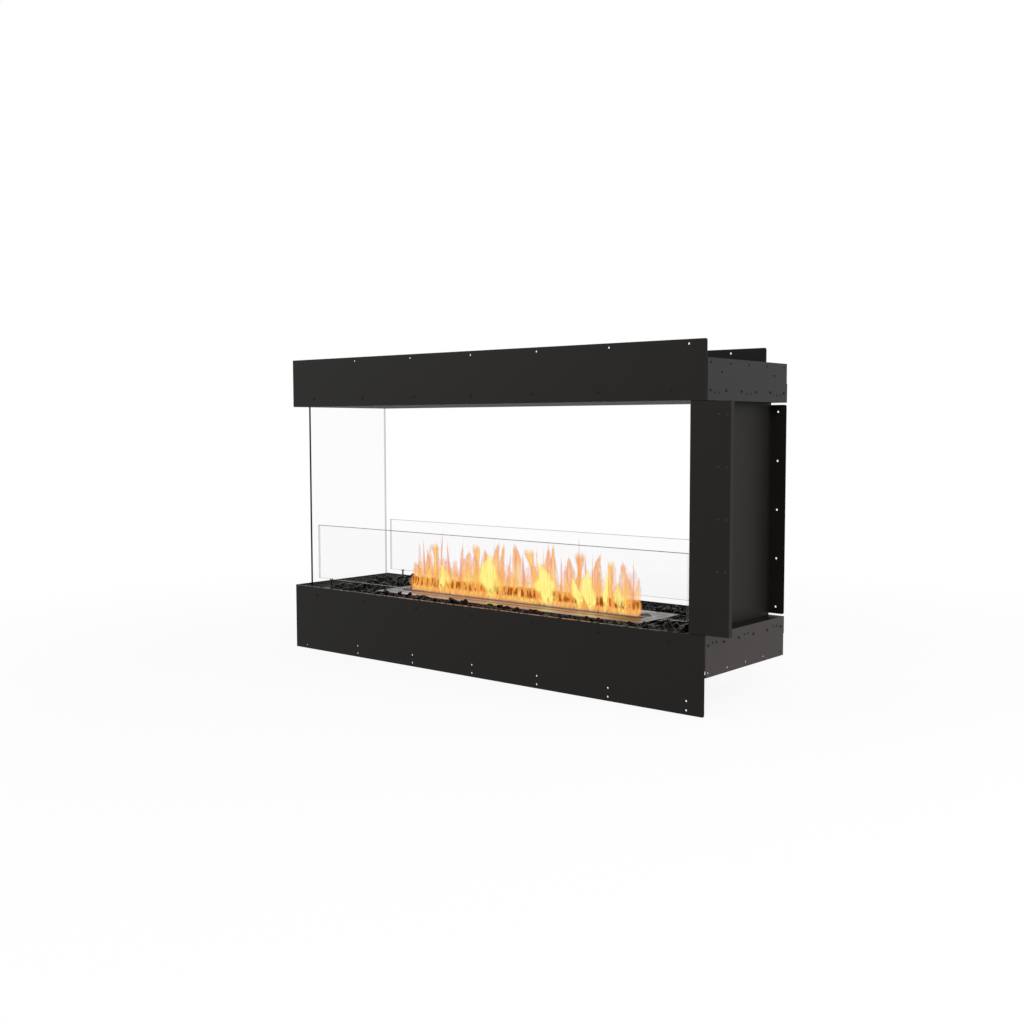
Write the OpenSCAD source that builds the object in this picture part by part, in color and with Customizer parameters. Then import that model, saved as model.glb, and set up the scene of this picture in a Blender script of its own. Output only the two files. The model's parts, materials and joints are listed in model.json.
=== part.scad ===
// Bioethanol fireplace insert, open to the front, the back and the left end, with a wall at the right end.
// Millimetres, +Z up, the front faces -Y. The origin lies under the middle of the whole piece.

/* [Overall] */
// Length of the base and header boxes
box_len = 1186.5; // [1000:0.5:1400]
// Depth of the base and header boxes, fascia face to back wall
box_depth = 309.5; // [290:0.5:380]
// Height of the fire opening, base rim to header underside
opening_h = 440.5; // [380:0.5:600]

/* [Sheet metal] */
// Thickness of the fascia sheets
fascia_t = 2; // [1.5:0.1:3]
// Thickness of the folded frame sheets
skin_t = 1.5; // [1:0.1:2]
// Width of the folded inner flanges
fold_w = 14; // [10:1:20]
// Radius of the free fascia corners
corner_r = 4; // [1:0.5:8]
// Gap between the front fascias and the edges of the right end panels
panel_gap = 1.2; // [0.4:0.1:1.4]
// How far the front fascias stop short of the right end panels
fascia_short = 0.5; // [0:0.1:2]

/* [Header] */
// Height of the header fascias
header_fascia_h = 114; // [100:1:160]
// Height of the header box behind them
header_box_h = 79; // [70:1:90]
// Where the header back fascia's tall part stops, from the right end
back_fascia_stop = 48.3; // [20:0.1:120]
// Height of the low strip that runs on to the right end
back_strip_h = 38.5; // [30:0.5:60]
// Thickness of the insulation board on the soffit
header_board_t = 25; // [15:1:28]
// Depth of the header cross stiffeners
stiffener_h = 33; // [20:1:40]
// Distance of the outer stiffeners from the header's ends
stiffener_inset = 180; // [90:1:300]
// Gap between the insulation board and the side glass's groove
board_gap = 30; // [14:1:80]

/* [Base] */
// Height of the base fascia, floor line to rim
base_fascia_h = 155.5; // [140:0.5:200]
// Height of the base box behind it
base_box_h = 81; // [76:0.5:95]
// Height of the base back fascia strip
base_back_h = 35.5; // [30:0.5:60]
// Height of the cross members under the tray
crossmember_h = 16; // [12:1:20]
// Width of each cross member and stiffener
crossmember_w = 30; // [20:1:50]
// Drop from the rim to the top of the tray wall
tray_drop = 3.5; // [2.5:0.5:8]
// Gap between the tray walls and the frame walls, for the screw ends
tray_gap = 6; // [5:0.5:8]

/* [End wall] */
// Distance from the wall panel's inner face to the box end
wall_inset = 35.5; // [30:0.5:60]
// Thickness of the lined part of the wall
cassette_t = 12; // [10:0.5:16]
// Front flange, from the wall panel's inner face to its outer edge
front_flange_w = 87.3; // [70:0.1:120]
// Depth of the return on the front flange
flange_return = 11.5; // [6:0.5:18]
// Back flange, from the wall panel's inner face to its outer edge
back_flange_w = 36.2; // [30:0.1:60]
// Slit above and below the back flange
back_flange_slit = 4; // [2:0.5:10]
// Slit above and below the front flange
front_flange_slit = 1.5; // [0.5:0.1:3]
// Distance of the wall liner from the front and back faces
liner_setback = 26; // [24:1:45]
// Height of the upright folds of the deck and the soffit at the end wall
end_fold_h = 26; // [24:1:30]
// Leg that joins each flange to the wall panel
flange_leg = 20; // [12:1:23]
// Legs of the angles inside the wall
wall_angle_h = 15; // [10:1:25]

/* [Glass] */
// Thickness of the side glass
side_glass_t = 5; // [4:0.5:8]
// Distance of the side glass's middle plane from the left end
side_glass_inset = 27; // [24:0.5:40]
// Distance of the side glass's vertical edges from the front and back faces
side_glass_setback = 28.5; // [20:0.5:45]
// Width of the sill between the side glass and the coal
sill_w = 50; // [10:1:52]
// Thickness of the seal on each side of the side glass
seal_t = 1.5; // [1:0.1:2.5]
// Depth of the side glass's grooves
groove_d = 14; // [10:1:18]
// Width of the foot flanges of the groove above the soffit
groove_foot = 8; // [4:0.5:10]
// Thickness of the low glass screens
screen_t = 5; // [4:0.5:6]
// Height of the low glass screens
screen_h = 132.5; // [90:0.5:170]
// Distance of the screens' middle planes from the front and back faces
screen_inset = 33.2; // [31:0.1:45]
// Height of the screens' lower edges above the rim
screen_rise = 17; // [14:0.5:30]
// Gap between the side glass and the screens
screen_gap_left = 21.5; // [20:0.5:40]
// Gap between the wall liner and the screens
screen_gap_right = 11; // [5:0.5:40]
// Distance of the posts from the screens' ends
post_inset = 44; // [42:0.5:90]
// Diameter of the posts below the rim
post_d = 8; // [6:0.5:10]
// Diameter of the posts' necks
post_neck_d = 4; // [3:0.1:5.5]
// Width of the posts' forked heads along the screens
post_head_w = 3; // [2:0.1:6]
// Thickness of the prongs of the forked heads
prong_t = 0.8; // [0.6:0.1:2]
// Grip of the forked heads on the screens' lower edges
fork_grip = 2.5; // [1.5:0.1:6]

/* [Burner] */
// Length of the burner's top plate
burner_len = 781; // [600:1:860]
// Width of the burner's top plate
burner_w = 150; // [140:1:170]
// Overhang of the top plate past the casing
plate_overhang = 4.5; // [3:0.5:8]
// Height of the burner casing
casing_h = 50.5; // [42:0.5:52]
// Gap between the casing and the fuel tank
tank_gap = 2; // [1:0.5:4]
// Distance of the flame slot's ends from the top plate's ends
slot_margin = 38.5; // [34:0.5:120]
// Width of the flame slot
slot_w = 40; // [30:1:42]
// Height of the pressed lip round the slot
lip_h = 2.5; // [1:0.5:5]
// Thickness of the lip round the slot
lip_t = 1.2; // [0.8:0.1:2]
// Overlap of the shutter past the slot when shut
shutter_lap = 3.5; // [2:0.5:5]
// How far the closed shutter reaches past each end of the slot
shutter_end_lap = 8; // [6:1:9]
// How far the open shutter still shows in the slot
shutter_show = 7; // [6:0.5:10]
// Width of the two push tabs of the shutter
tab_w = 11; // [6:0.5:13]
// How far the push tabs stand above the slot's lip
tab_rise = 2.5; // [1:0.5:6]
// Height of the fuel absorber block
absorber_h = 28; // [15:1:34]
// Gap round the fuel absorber block
absorber_gap = 0.5; // [0.3:0.1:3]
// Height of the rails beside the burner casing
rail_h = 14; // [8:1:30]
// Distance of the rails' ends from the casing's ends
rail_inset = 77; // [20:1:200]

/* [Coal bed] */
// Depth of the coal bed at its middle level
coal_depth = 54; // [30:1:60]
// Height of the coal lumps above and below that level
coal_relief = 7; // [2:0.5:8]
// Size of the coal lumps
coal_cell = 23; // [16:1:30]
// How much higher the coal is heaped at the two ends
coal_heap = 9; // [0:0.5:10]
// Length of the heaps' slopes
heap_run = 110; // [40:5:200]
// Gap between the coal and the burner's top plate
burner_moat = 3; // [2:0.5:6]

/* [Fixings] */
// Diameter of the fixing holes in fascias, flanges and end panels
hole_d = 4.5; // [3.5:0.1:6]
// Distance of the hole rows from the free fascia edges
hole_edge = 8.6; // [7:0.1:14]
// Distance between the two rows in the base fascias
row_gap = 17.9; // [12:0.1:30]
// Distance of the first fascia hole from the fascia's end
hole_margin = 39.5; // [20:0.5:60]
// Holes along each long fascia
hole_count = 7; // [5:2:9]
// Distance of the first fascia screw from the fascia's end
screw_margin = 78.5; // [60:0.5:120]
// Screws along each long fascia
screw_count = 7; // [5:1:8]
// Height of the header screws above the soffit
header_screw_up = 18.3; // [14:0.1:22]
// Depth of the base screws below the rim
base_screw_down = 20.6; // [18:0.1:24]
// Diameter of the screw heads
head_d = 6; // [5.5:0.1:8]
// Height of the screw heads
head_h = 1.2; // [1:0.1:2]
// Diameter of the screw shanks
shank_d = 3.9; // [3:0.1:4.1]
// Radial clearance of shanks in their holes
shank_clear = 0.15; // [0.1:0.05:0.3]
// Distance between the two rivets of a pair
rivet_gap = 14.3; // [10:0.1:20]
// Diameter of the rivet shanks
rivet_d = 3; // [2:0.1:3.4]
// Height of the rivet heads
rivet_head_h = 0.8; // [0.5:0.1:1.2]
// How far screw ends reach past the sheets they hold
screw_tail = 4; // [2:0.5:5]
// How far rivet ends reach past the sheets they hold
rivet_tail = 2; // [1:0.5:4]
// Distance of the end panels' hole rows from the box faces
end_hole_margin = 12.4; // [8:0.1:30]
// Distance of the end panels' screw rows from the box faces
end_screw_margin = 11.4; // [10:0.1:18]
// Distance of the outer rivet pairs from the box faces
rivet_margin = 35; // [28:0.5:50]
// Height of the hole row of the base end panel above its lower edge
base_end_hole_up = 9; // [6:0.1:14]
// Depth of the hole row of the header end panel below its upper edge
header_end_hole_down = 8.5; // [6:0.1:14]
// Depth of the two high holes of the header end panel below its upper edge
high_hole_down = 26; // [20:0.1:34]
// Distance between the two high holes of the header end panel
high_hole_gap = 204; // [120:1:230]
// Depth of the screw row of the base end panel below the rim
base_end_screw_down = 20; // [18:0.1:22.5]
// Height of the screw row of the header end panel above the soffit
header_end_screw_up = 18.8; // [18:0.1:22]
// Depth of the rivet row of the base end panel below the rim
base_rivet_down = 16.5; // [10:0.1:19]
// Height of the rivet row of the header end panel above the soffit
header_rivet_up = 14.4; // [10:0.1:19]
// Distance of the screw pairs' inner column from the front flange's edge
pair_in = 25.8; // [22:0.1:36]
// Distance of the screw pairs' outer column from the front flange's edge
pair_out = 8.5; // [6:0.1:12]
// Distance of the end hole pairs of the front flange from the rim and the soffit
pair_margin = 26; // [12:0.5:60]
// Distance of the end holes of the back flange from the rim and the soffit
flange_margin = 18.3; // [17:0.1:60]

/* [Hidden] */
$fn = 48;
cut = 1;             // how far a cutter runs past the sheet it cuts
seat_gap = 0.3;      // gap under a piece that lifts off its seat
side_clear = 0.3;    // gap beside a piece that slides or lifts
part_gap = 0.5;      // gap between the tray and what stands beside it

rim_z = base_fascia_h;
soffit_z = rim_z + opening_h;
crown_z = soffit_z + header_fascia_h;
box_under_z = rim_z - base_box_h;
header_lid_z = soffit_z + header_box_h;

fascia_x1 = box_len - fascia_short;
back_y = box_depth + fascia_t;
frame_x0 = fascia_t;
frame_y0 = fascia_t;
frame_y1 = box_depth;
in_x0 = frame_x0 + skin_t;
in_x1 = box_len - skin_t;
in_y0 = frame_y0 + skin_t;
in_y1 = frame_y1 - skin_t;
mid_y = (frame_y0 + frame_y1) / 2;
end_panel_y0 = fascia_t + panel_gap;
corner_notch = [2.6, 13];    // the base end panel's cut front lower corner, depth and height

wall_x = box_len - wall_inset;
liner_x0 = wall_x - cassette_t;
deck_x0 = liner_x0 - 2;
deck_z0 = rim_z - skin_t;
front_flange_x1 = wall_x + front_flange_w;
back_flange_x1 = wall_x + back_flange_w;
wall_in_y0 = liner_setback + skin_t;
wall_in_y1 = box_depth - liner_setback - skin_t;

tray_z0 = box_under_z + skin_t + crossmember_h;
tray_floor_z = tray_z0 + skin_t;
tray_top_z = rim_z - tray_drop;
groove_w = side_glass_t + 2 * seal_t;
groove_x0 = side_glass_inset - groove_w / 2;
groove_x1 = side_glass_inset + groove_w / 2;
sill_x1 = groove_x1 + skin_t + sill_w;
tray_x0 = sill_x1 - skin_t;
tray_x1 = deck_x0 - part_gap;
tray_y0 = in_y0 + tray_gap;
tray_y1 = in_y1 - tray_gap;

glass_y0 = side_glass_setback;
glass_y1 = box_depth - side_glass_setback;
groove_z0 = tray_top_z + skin_t - groove_d;
head_groove_z1 = soffit_z + skin_t + groove_d + 2;
seal_h = groove_d - skin_t - 2;
glass_z0 = groove_z0 + skin_t + seal_t;
glass_z1 = head_groove_z1 - skin_t - seal_t;
screen_z0 = rim_z + screen_rise;
screen_x0 = side_glass_inset + side_glass_t / 2 + screen_gap_left;
screen_x1 = liner_x0 - screen_gap_right;
screen_ys = [screen_inset, box_depth - screen_inset];
post_xs = [screen_x0 + post_inset, screen_x1 - post_inset];
post_slot_z = screen_z0 - seat_gap;
post_top_z = post_slot_z + fork_grip;
post_fork_y = screen_t + 2 * side_clear + 2 * prong_t;
post_taper_z = rim_z - 4;
post_taper_h = 8;
nut_h = 3.5;
nut_d = 8;
stud_d = 4;

burner_x = fascia_x1 / 2;
burner_y = mid_y;
slot_len = burner_len - 2 * slot_margin;
rail_t = skin_t;
casing_z0 = tray_floor_z + rail_t + seat_gap;
casing_z1 = casing_z0 + casing_h;
tank_rim_z = casing_z1 + skin_t;
plate_z1 = tank_rim_z + skin_t;
casing_l = burner_len - 2 * plate_overhang;
casing_w = burner_w - 2 * plate_overhang;
tank_l = casing_l - 2 * (skin_t + tank_gap);
tank_w = casing_w - 2 * (skin_t + tank_gap);
tank_z0 = casing_z0 + skin_t + tank_gap;
shutter_z1 = tank_rim_z - side_clear;
shutter_z0 = shutter_z1 - skin_t;
shutter_y0 = burner_y + slot_w / 2 - shutter_show;
tab_y0 = shutter_y0 + shutter_lap - 0.5;
shutter_travel = tab_y0 - (burner_y - slot_w / 2) - 0.5;
shutter_y1 = burner_y + slot_w / 2 + shutter_lap + shutter_travel;
shutter_l = slot_len + 2 * shutter_end_lap;
guide_lip = 10;

coal_x0 = tray_x0 + skin_t + part_gap;
coal_x1 = tray_x1 - skin_t - part_gap;
coal_y0 = tray_y0 + skin_t + part_gap;
coal_y1 = tray_y1 - skin_t - part_gap;
post_moat = post_d / 2 + 3;

unit_x0 = -head_h;
unit_x1 = max(front_flange_x1, back_flange_x1, box_len + head_h);
unit_y0 = -head_h;
unit_y1 = back_y + head_h;

coat = [0.17, 0.165, 0.16];
coat_pale = [0.3, 0.29, 0.29];
steel = [0.72, 0.71, 0.69];
zinc = [0.55, 0.56, 0.58];

// Places a sub-part: the drawing starts at the left front lower corner of the fascias
module placed() {
    translate([-(unit_x0 + unit_x1) / 2, -(unit_y0 + unit_y1) / 2, 0])
        children();
}

// A flat block between two opposite corners
module slab(from, to) {
    translate(from)
        cube(to - from);
}

// Evenly spaced places from first to last
function spread(first, last, count) =
    [for (i = [0 : count - 1]) first + i * (last - first) / (count - 1)];

// Places that stand either side of a middle
function centred(middle, pitch, count) =
    [for (i = [0 : count - 1]) middle + (i - (count - 1) / 2) * pitch];

hole_xs = spread(hole_margin, fascia_x1 - hole_margin, hole_count);
hole_pitch = hole_xs[1] - hole_xs[0];
back_hole_xs = spread(hole_margin + hole_pitch / 2, fascia_x1 - hole_margin - hole_pitch / 2, hole_count - 1);
side_hole_ys = centred(mid_y, (frame_y1 - frame_y0) / 2 - hole_margin, 3);
screw_xs = spread(screw_margin, fascia_x1 - screw_margin, screw_count);
left_screw_ys = centred(mid_y, (frame_y1 - frame_y0) / 3, 3);
end_hole_ys = spread(frame_y0 + end_hole_margin, frame_y1 - end_hole_margin, 5);
end_screw_ys = spread(frame_y0 + end_screw_margin, frame_y1 - end_screw_margin, 6);
rivet_pair_ys = spread(frame_y0 + rivet_margin, frame_y1 - rivet_margin, 3);
rivet_ys = [for (y = rivet_pair_ys) for (s = [-1, 1]) y + s * rivet_gap / 2];
header_screw_z = soffit_z + header_screw_up;
base_screw_z = rim_z - base_screw_down;
header_hole_z = crown_z - hole_edge;
base_hole_zs = [hole_edge, hole_edge + row_gap];
end_hole_z = box_under_z + base_end_hole_up;
header_end_hole_z = header_lid_z - header_end_hole_down;
header_high_hole_z = header_lid_z - high_hole_down;
base_rivet_z = rim_z - base_rivet_down;
header_rivet_z = soffit_z + header_rivet_up;
base_end_screw_z = rim_z - base_end_screw_down;
header_end_screw_z = soffit_z + header_end_screw_up;
stiffener_xs = spread(frame_x0 + stiffener_inset, in_x1 - stiffener_inset, 3);
crossmember_xs = centred((tray_x0 + tray_x1) / 2, (tray_x1 - tray_x0) / 4, 4);
wall_screw_ys = centred(mid_y, (box_depth - 2 * liner_setback) / 3, 3);
wall_screw_x = (liner_x0 + skin_t + wall_x - skin_t) / 2;

// Cutters along Y and along X
module drill_y(x, z, y0, y1, d) {
    translate([x, y0 - cut, z])
        rotate([-90, 0, 0])
            cylinder(h = y1 - y0 + 2 * cut, d = d);
}

module drill_x(y, z, x0, x1, d) {
    translate([x0 - cut, y, z])
        rotate([0, 90, 0])
            cylinder(h = x1 - x0 + 2 * cut, d = d);
}

// A sheet in the XZ plane with its free corners rounded
module face_sheet(x0, x1, y0, y1, z0, z1, round_top = false, round_bottom = false) {
    translate([0, y1, 0])
        rotate([90, 0, 0])
            linear_extrude(height = y1 - y0)
                difference() {
                    translate([x0, z0])
                        square([x1 - x0, z1 - z0]);
                    if (round_top)
                        corner_cut(x1, z1, 1);
                    if (round_bottom)
                        corner_cut(x1, z0, -1);
                }
}

module corner_cut(x, z, up) {
    translate([x - corner_r, z - up * corner_r])
        difference() {
            translate([0, up > 0 ? 0 : -corner_r - cut])
                square([corner_r + cut, corner_r + cut]);
            circle(r = corner_r);
        }
}

// A low button head screw along +Z: the head stands above z = 0 and the shank goes below
module screw(grip) {
    socket_d = head_d * 0.43;
    socket_h = head_h * 0.65;
    difference() {
        union() {
            cylinder(h = head_h, d1 = head_d, d2 = head_d - 1);
            translate([0, 0, -grip])
                cylinder(h = grip, d = shank_d);
        }
        translate([0, 0, head_h - socket_h])
            cylinder(h = socket_h + cut, d = socket_d, $fn = 6);
    }
}

// A pop rivet along +Z, seated the same way
module rivet(grip) {
    cylinder(h = rivet_head_h, d1 = rivet_d + 1.8, d2 = rivet_d + 0.8);
    translate([0, 0, -grip])
        cylinder(h = grip, d = rivet_d);
}

// Base

module base_front_fascia() {
    color(coat)
        placed()
            difference() {
                face_sheet(0, fascia_x1, 0, fascia_t, 0, rim_z, round_bottom = true);
                for (x = hole_xs, z = base_hole_zs)
                    drill_y(x, z, 0, fascia_t, hole_d);
                for (x = screw_xs)
                    drill_y(x, base_screw_z, 0, fascia_t, shank_d + 2 * shank_clear);
            }
}

module base_left_fascia() {
    color(coat)
        placed()
            difference() {
                slab([0, fascia_t, 0], [fascia_t, box_depth, rim_z]);
                for (y = side_hole_ys, z = base_hole_zs)
                    drill_x(y, z, 0, fascia_t, hole_d);
                for (y = left_screw_ys)
                    drill_x(y, base_screw_z, 0, fascia_t, shank_d + 2 * shank_clear);
            }
}

module base_back_fascia() {
    color(coat)
        placed()
            difference() {
                slab([0, box_depth, rim_z - base_back_h], [box_len, back_y, rim_z]);
                for (x = screw_xs)
                    drill_y(x, base_screw_z, box_depth, back_y, shank_d + 2 * shank_clear);
            }
}

// A base frame wall with its foot flange folded inwards
module base_frame(y0, inward) {
    y1 = y0 + skin_t;
    foot_y0 = inward > 0 ? y0 : y1 - fold_w;
    difference() {
        union() {
            slab([frame_x0, y0, box_under_z], [in_x1, y1, rim_z]);
            slab([frame_x0, foot_y0, box_under_z], [in_x1, foot_y0 + fold_w, box_under_z + skin_t]);
        }
        for (x = screw_xs)
            drill_y(x, base_screw_z, y0, y1, shank_d + 2 * shank_clear);
    }
}

module base_front_frame() {
    color(coat)
        placed()
            base_frame(frame_y0, 1);
}

module base_back_frame() {
    color(coat)
        placed()
            base_frame(in_y1, -1);
}

module base_left_panel() {
    color(coat)
        placed()
            difference() {
                union() {
                    slab([frame_x0, in_y0, box_under_z + skin_t], [in_x0, in_y1, tray_top_z]);
                    slab([frame_x0, frame_y0 + fold_w, box_under_z],
                         [frame_x0 + fold_w, frame_y1 - fold_w, box_under_z + skin_t]);
                }
                for (y = left_screw_ys)
                    drill_x(y, base_screw_z, frame_x0, in_x0, shank_d + 2 * shank_clear);
            }
}

module base_right_panel() {
    color(coat_pale)
        placed()
            difference() {
                union() {
                    slab([in_x1, end_panel_y0, box_under_z], [box_len, frame_y1, rim_z]);
                    slab([in_x1 - fold_w + skin_t, frame_y0 + fold_w, box_under_z],
                         [box_len, frame_y1 - fold_w, box_under_z + skin_t]);
                }
                slab([in_x1 - cut, end_panel_y0 - cut, box_under_z - cut],
                     [box_len + cut, end_panel_y0 + corner_notch[0], box_under_z + corner_notch[1]]);
                for (y = end_hole_ys)
                    drill_x(y, end_hole_z, in_x1, box_len, hole_d);
                for (y = end_screw_ys)
                    drill_x(y, base_end_screw_z, in_x1, box_len, shank_d + 2 * shank_clear);
                for (y = rivet_ys)
                    drill_x(y, base_rivet_z, in_x1, box_len, rivet_d + 2 * shank_clear);
            }
}

// The deck under the end wall, with a fold down on each side
module base_end_deck() {
    color(coat)
        placed()
            difference() {
                union() {
                    slab([deck_x0, in_y0, deck_z0], [in_x1, in_y1, rim_z]);
                    slab([deck_x0, in_y0, deck_z0 - end_fold_h], [deck_x0 + skin_t, in_y1, rim_z]);
                    slab([in_x1 - skin_t, in_y0, deck_z0 - end_fold_h], [in_x1, in_y1, rim_z]);
                }
                for (y = end_screw_ys)
                    drill_x(y, base_end_screw_z, in_x1 - skin_t, in_x1, shank_d + 2 * shank_clear);
                for (y = rivet_ys)
                    drill_x(y, base_rivet_z, in_x1 - skin_t, in_x1, rivet_d + 2 * shank_clear);
                for (y = wall_screw_ys)
                    translate([wall_screw_x, y, deck_z0 - cut])
                        cylinder(h = skin_t + 2 * cut, d = shank_d + 2 * shank_clear);
            }
}

// An open channel along Y with its web on top
module channel_y(x, z0, z1) {
    slab([x - crossmember_w / 2, in_y0, z1 - skin_t], [x + crossmember_w / 2, in_y1, z1]);
    for (side = [-1, 1])
        slab([x + side * (crossmember_w - skin_t) / 2 - skin_t / 2, in_y0, z0],
             [x + side * (crossmember_w - skin_t) / 2 + skin_t / 2, in_y1, z1]);
}

module tray_crossmembers() {
    color(zinc)
        placed()
            for (x = crossmember_xs)
                channel_y(x, box_under_z + skin_t, tray_z0);
}

// The open tray that holds the coal and the burner, with a rim folded outwards at the front and the back
module media_tray() {
    color(coat)
        placed()
            difference() {
                union() {
                    slab([tray_x0, tray_y0, tray_z0], [tray_x1, tray_y1, tray_top_z]);
                    slab([tray_x0, in_y0 + side_clear, tray_top_z - skin_t],
                         [tray_x1, in_y1 - side_clear, tray_top_z]);
                }
                slab([tray_x0 + skin_t, tray_y0 + skin_t, tray_floor_z],
                     [tray_x1 - skin_t, tray_y1 - skin_t, tray_top_z + cut]);
                for (x = post_xs, y = screen_ys)
                    translate([x, y, tray_z0 - cut])
                        cylinder(h = skin_t + 2 * cut, d = stud_d + 2 * shank_clear);
            }
}

// Grid lines of the coal bed: each stretch is cut into cells of about one lump
function cells(a, b) = max(1, round((b - a) / coal_cell));
function ruled(stops) = concat(
    [for (k = [0 : len(stops) - 2])
        for (i = [0 : cells(stops[k], stops[k + 1]) - 1])
            stops[k] + i * (stops[k + 1] - stops[k]) / cells(stops[k], stops[k + 1])],
    [stops[len(stops) - 1]]);

coal_hole_x = [burner_x - burner_len / 2 - burner_moat, burner_x + burner_len / 2 + burner_moat];
coal_hole_y = [burner_y - burner_w / 2 - burner_moat, burner_y + burner_w / 2 + burner_moat];
coal_xs = ruled([coal_x0, post_xs[0] - post_moat, post_xs[0] + post_moat, coal_hole_x[0], coal_hole_x[1],
                 post_xs[1] - post_moat, post_xs[1] + post_moat, coal_x1]);
coal_ys = ruled([coal_y0, screen_ys[0] - post_moat, screen_ys[0] + post_moat, coal_hole_y[0],
                 coal_hole_y[1], screen_ys[1] - post_moat, screen_ys[1] + post_moat, coal_y1]);
coal_nx = len(coal_xs) - 1;
coal_ny = len(coal_ys) - 1;
coal_bumps = rands(-1, 1, (coal_nx + 1) * (coal_ny + 1), 7);

function between(v, range) = v > range[0] && v < range[1];
function near_post(x, y) = min([for (px = post_xs, py = screen_ys) max(abs(x - px), abs(y - py))]) < post_moat;
function has_coal(i, j) =
    i >= 0 && j >= 0 && i < coal_nx && j < coal_ny
    && !(between((coal_xs[i] + coal_xs[i + 1]) / 2, coal_hole_x)
         && between((coal_ys[j] + coal_ys[j + 1]) / 2, coal_hole_y))
    && !near_post((coal_xs[i] + coal_xs[i + 1]) / 2, (coal_ys[j] + coal_ys[j + 1]) / 2);
function corner(i, j, level) = (i * (coal_ny + 1) + j) * 2 + level;
function heap(x) = coal_heap * max(0, 1 - min(x - coal_x0, coal_x1 - x) / heap_run);

// Loose black coal round the burner: one bumpy solid with a well for the burner and for each post
module coal_bed() {
    points = [for (i = [0 : coal_nx], j = [0 : coal_ny], level = [0, 1])
        [coal_xs[i], coal_ys[j], level == 0 ? tray_floor_z
            : tray_floor_z + coal_depth + heap(coal_xs[i]) + coal_relief * coal_bumps[i * (coal_ny + 1) + j]]];
    faces = [for (i = [0 : coal_nx - 1], j = [0 : coal_ny - 1])
        if (has_coal(i, j)) each concat(
            [[corner(i, j, 1), corner(i, j + 1, 1), corner(i + 1, j + 1, 1)],
             [corner(i, j, 1), corner(i + 1, j + 1, 1), corner(i + 1, j, 1)],
             [corner(i, j, 0), corner(i + 1, j + 1, 0), corner(i, j + 1, 0)],
             [corner(i, j, 0), corner(i + 1, j, 0), corner(i + 1, j + 1, 0)]],
            has_coal(i - 1, j) ? [] : coal_side(i, j + 1, i, j),
            has_coal(i + 1, j) ? [] : coal_side(i + 1, j, i + 1, j + 1),
            has_coal(i, j - 1) ? [] : coal_side(i, j, i + 1, j),
            has_coal(i, j + 1) ? [] : coal_side(i + 1, j + 1, i, j + 1))];
    color([0.09, 0.09, 0.1])
        placed()
            polyhedron(points, faces);
}

// Two triangles of a side wall between two neighbouring grid corners
function coal_side(i0, j0, i1, j1) = [
    [corner(i0, j0, 0), corner(i0, j0, 1), corner(i1, j1, 1)],
    [corner(i0, j0, 0), corner(i1, j1, 1), corner(i1, j1, 0)]];

// Header

module header_front_fascia() {
    color(coat)
        placed()
            difference() {
                face_sheet(0, fascia_x1, 0, fascia_t, soffit_z, crown_z, round_top = true);
                for (x = hole_xs)
                    drill_y(x, header_hole_z, 0, fascia_t, hole_d);
                for (x = screw_xs)
                    drill_y(x, header_screw_z, 0, fascia_t, shank_d + 2 * shank_clear);
            }
}

module header_left_fascia() {
    color(coat)
        placed()
            difference() {
                slab([0, fascia_t, soffit_z], [fascia_t, box_depth, crown_z]);
                for (y = side_hole_ys)
                    drill_x(y, header_hole_z, 0, fascia_t, hole_d);
                for (y = left_screw_ys)
                    drill_x(y, header_screw_z, 0, fascia_t, shank_d + 2 * shank_clear);
            }
}

module header_back_fascia() {
    color(coat)
        placed()
            difference() {
                union() {
                    face_sheet(0, box_len - back_fascia_stop, box_depth, back_y, soffit_z, crown_z,
                               round_top = true);
                    slab([0, box_depth, soffit_z], [box_len, back_y, soffit_z + back_strip_h]);
                }
                for (x = back_hole_xs)
                    drill_y(x, header_hole_z, box_depth, back_y, hole_d);
                for (x = screw_xs)
                    drill_y(x, header_screw_z, box_depth, back_y, shank_d + 2 * shank_clear);
            }
}

// A header frame wall that stands on the soffit with its foot folded inwards
module header_frame(y0, inward) {
    y1 = y0 + skin_t;
    foot_y0 = inward > 0 ? y0 : y1 - fold_w;
    difference() {
        union() {
            slab([frame_x0, y0, soffit_z + skin_t], [in_x1, y1, header_lid_z - skin_t]);
            slab([in_x0, foot_y0, soffit_z + skin_t],
                 [in_x1 - skin_t, foot_y0 + fold_w, soffit_z + 2 * skin_t]);
        }
        for (x = screw_xs)
            drill_y(x, header_screw_z, y0, y1, shank_d + 2 * shank_clear);
    }
}

module header_front_frame() {
    color(coat)
        placed()
            header_frame(frame_y0, 1);
}

module header_back_frame() {
    color(coat)
        placed()
            header_frame(in_y1, -1);
}

module header_left_panel() {
    color(coat)
        placed()
            difference() {
                slab([frame_x0, in_y0, soffit_z + skin_t], [in_x0, in_y1, header_lid_z - skin_t]);
                for (y = left_screw_ys)
                    drill_x(y, header_screw_z, frame_x0, in_x0, shank_d + 2 * shank_clear);
            }
}

module header_right_panel() {
    color(coat_pale)
        placed()
            difference() {
                slab([in_x1, end_panel_y0, soffit_z], [box_len, frame_y1, header_lid_z]);
                for (y = end_hole_ys)
                    drill_x(y, header_end_hole_z, in_x1, box_len, hole_d);
                for (y = centred(mid_y, high_hole_gap, 2))
                    drill_x(y, header_high_hole_z, in_x1, box_len, hole_d);
                for (y = end_screw_ys)
                    drill_x(y, header_end_screw_z, in_x1, box_len, shank_d + 2 * shank_clear);
                for (y = rivet_ys)
                    drill_x(y, header_rivet_z, in_x1, box_len, rivet_d + 2 * shank_clear);
            }
}

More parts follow.
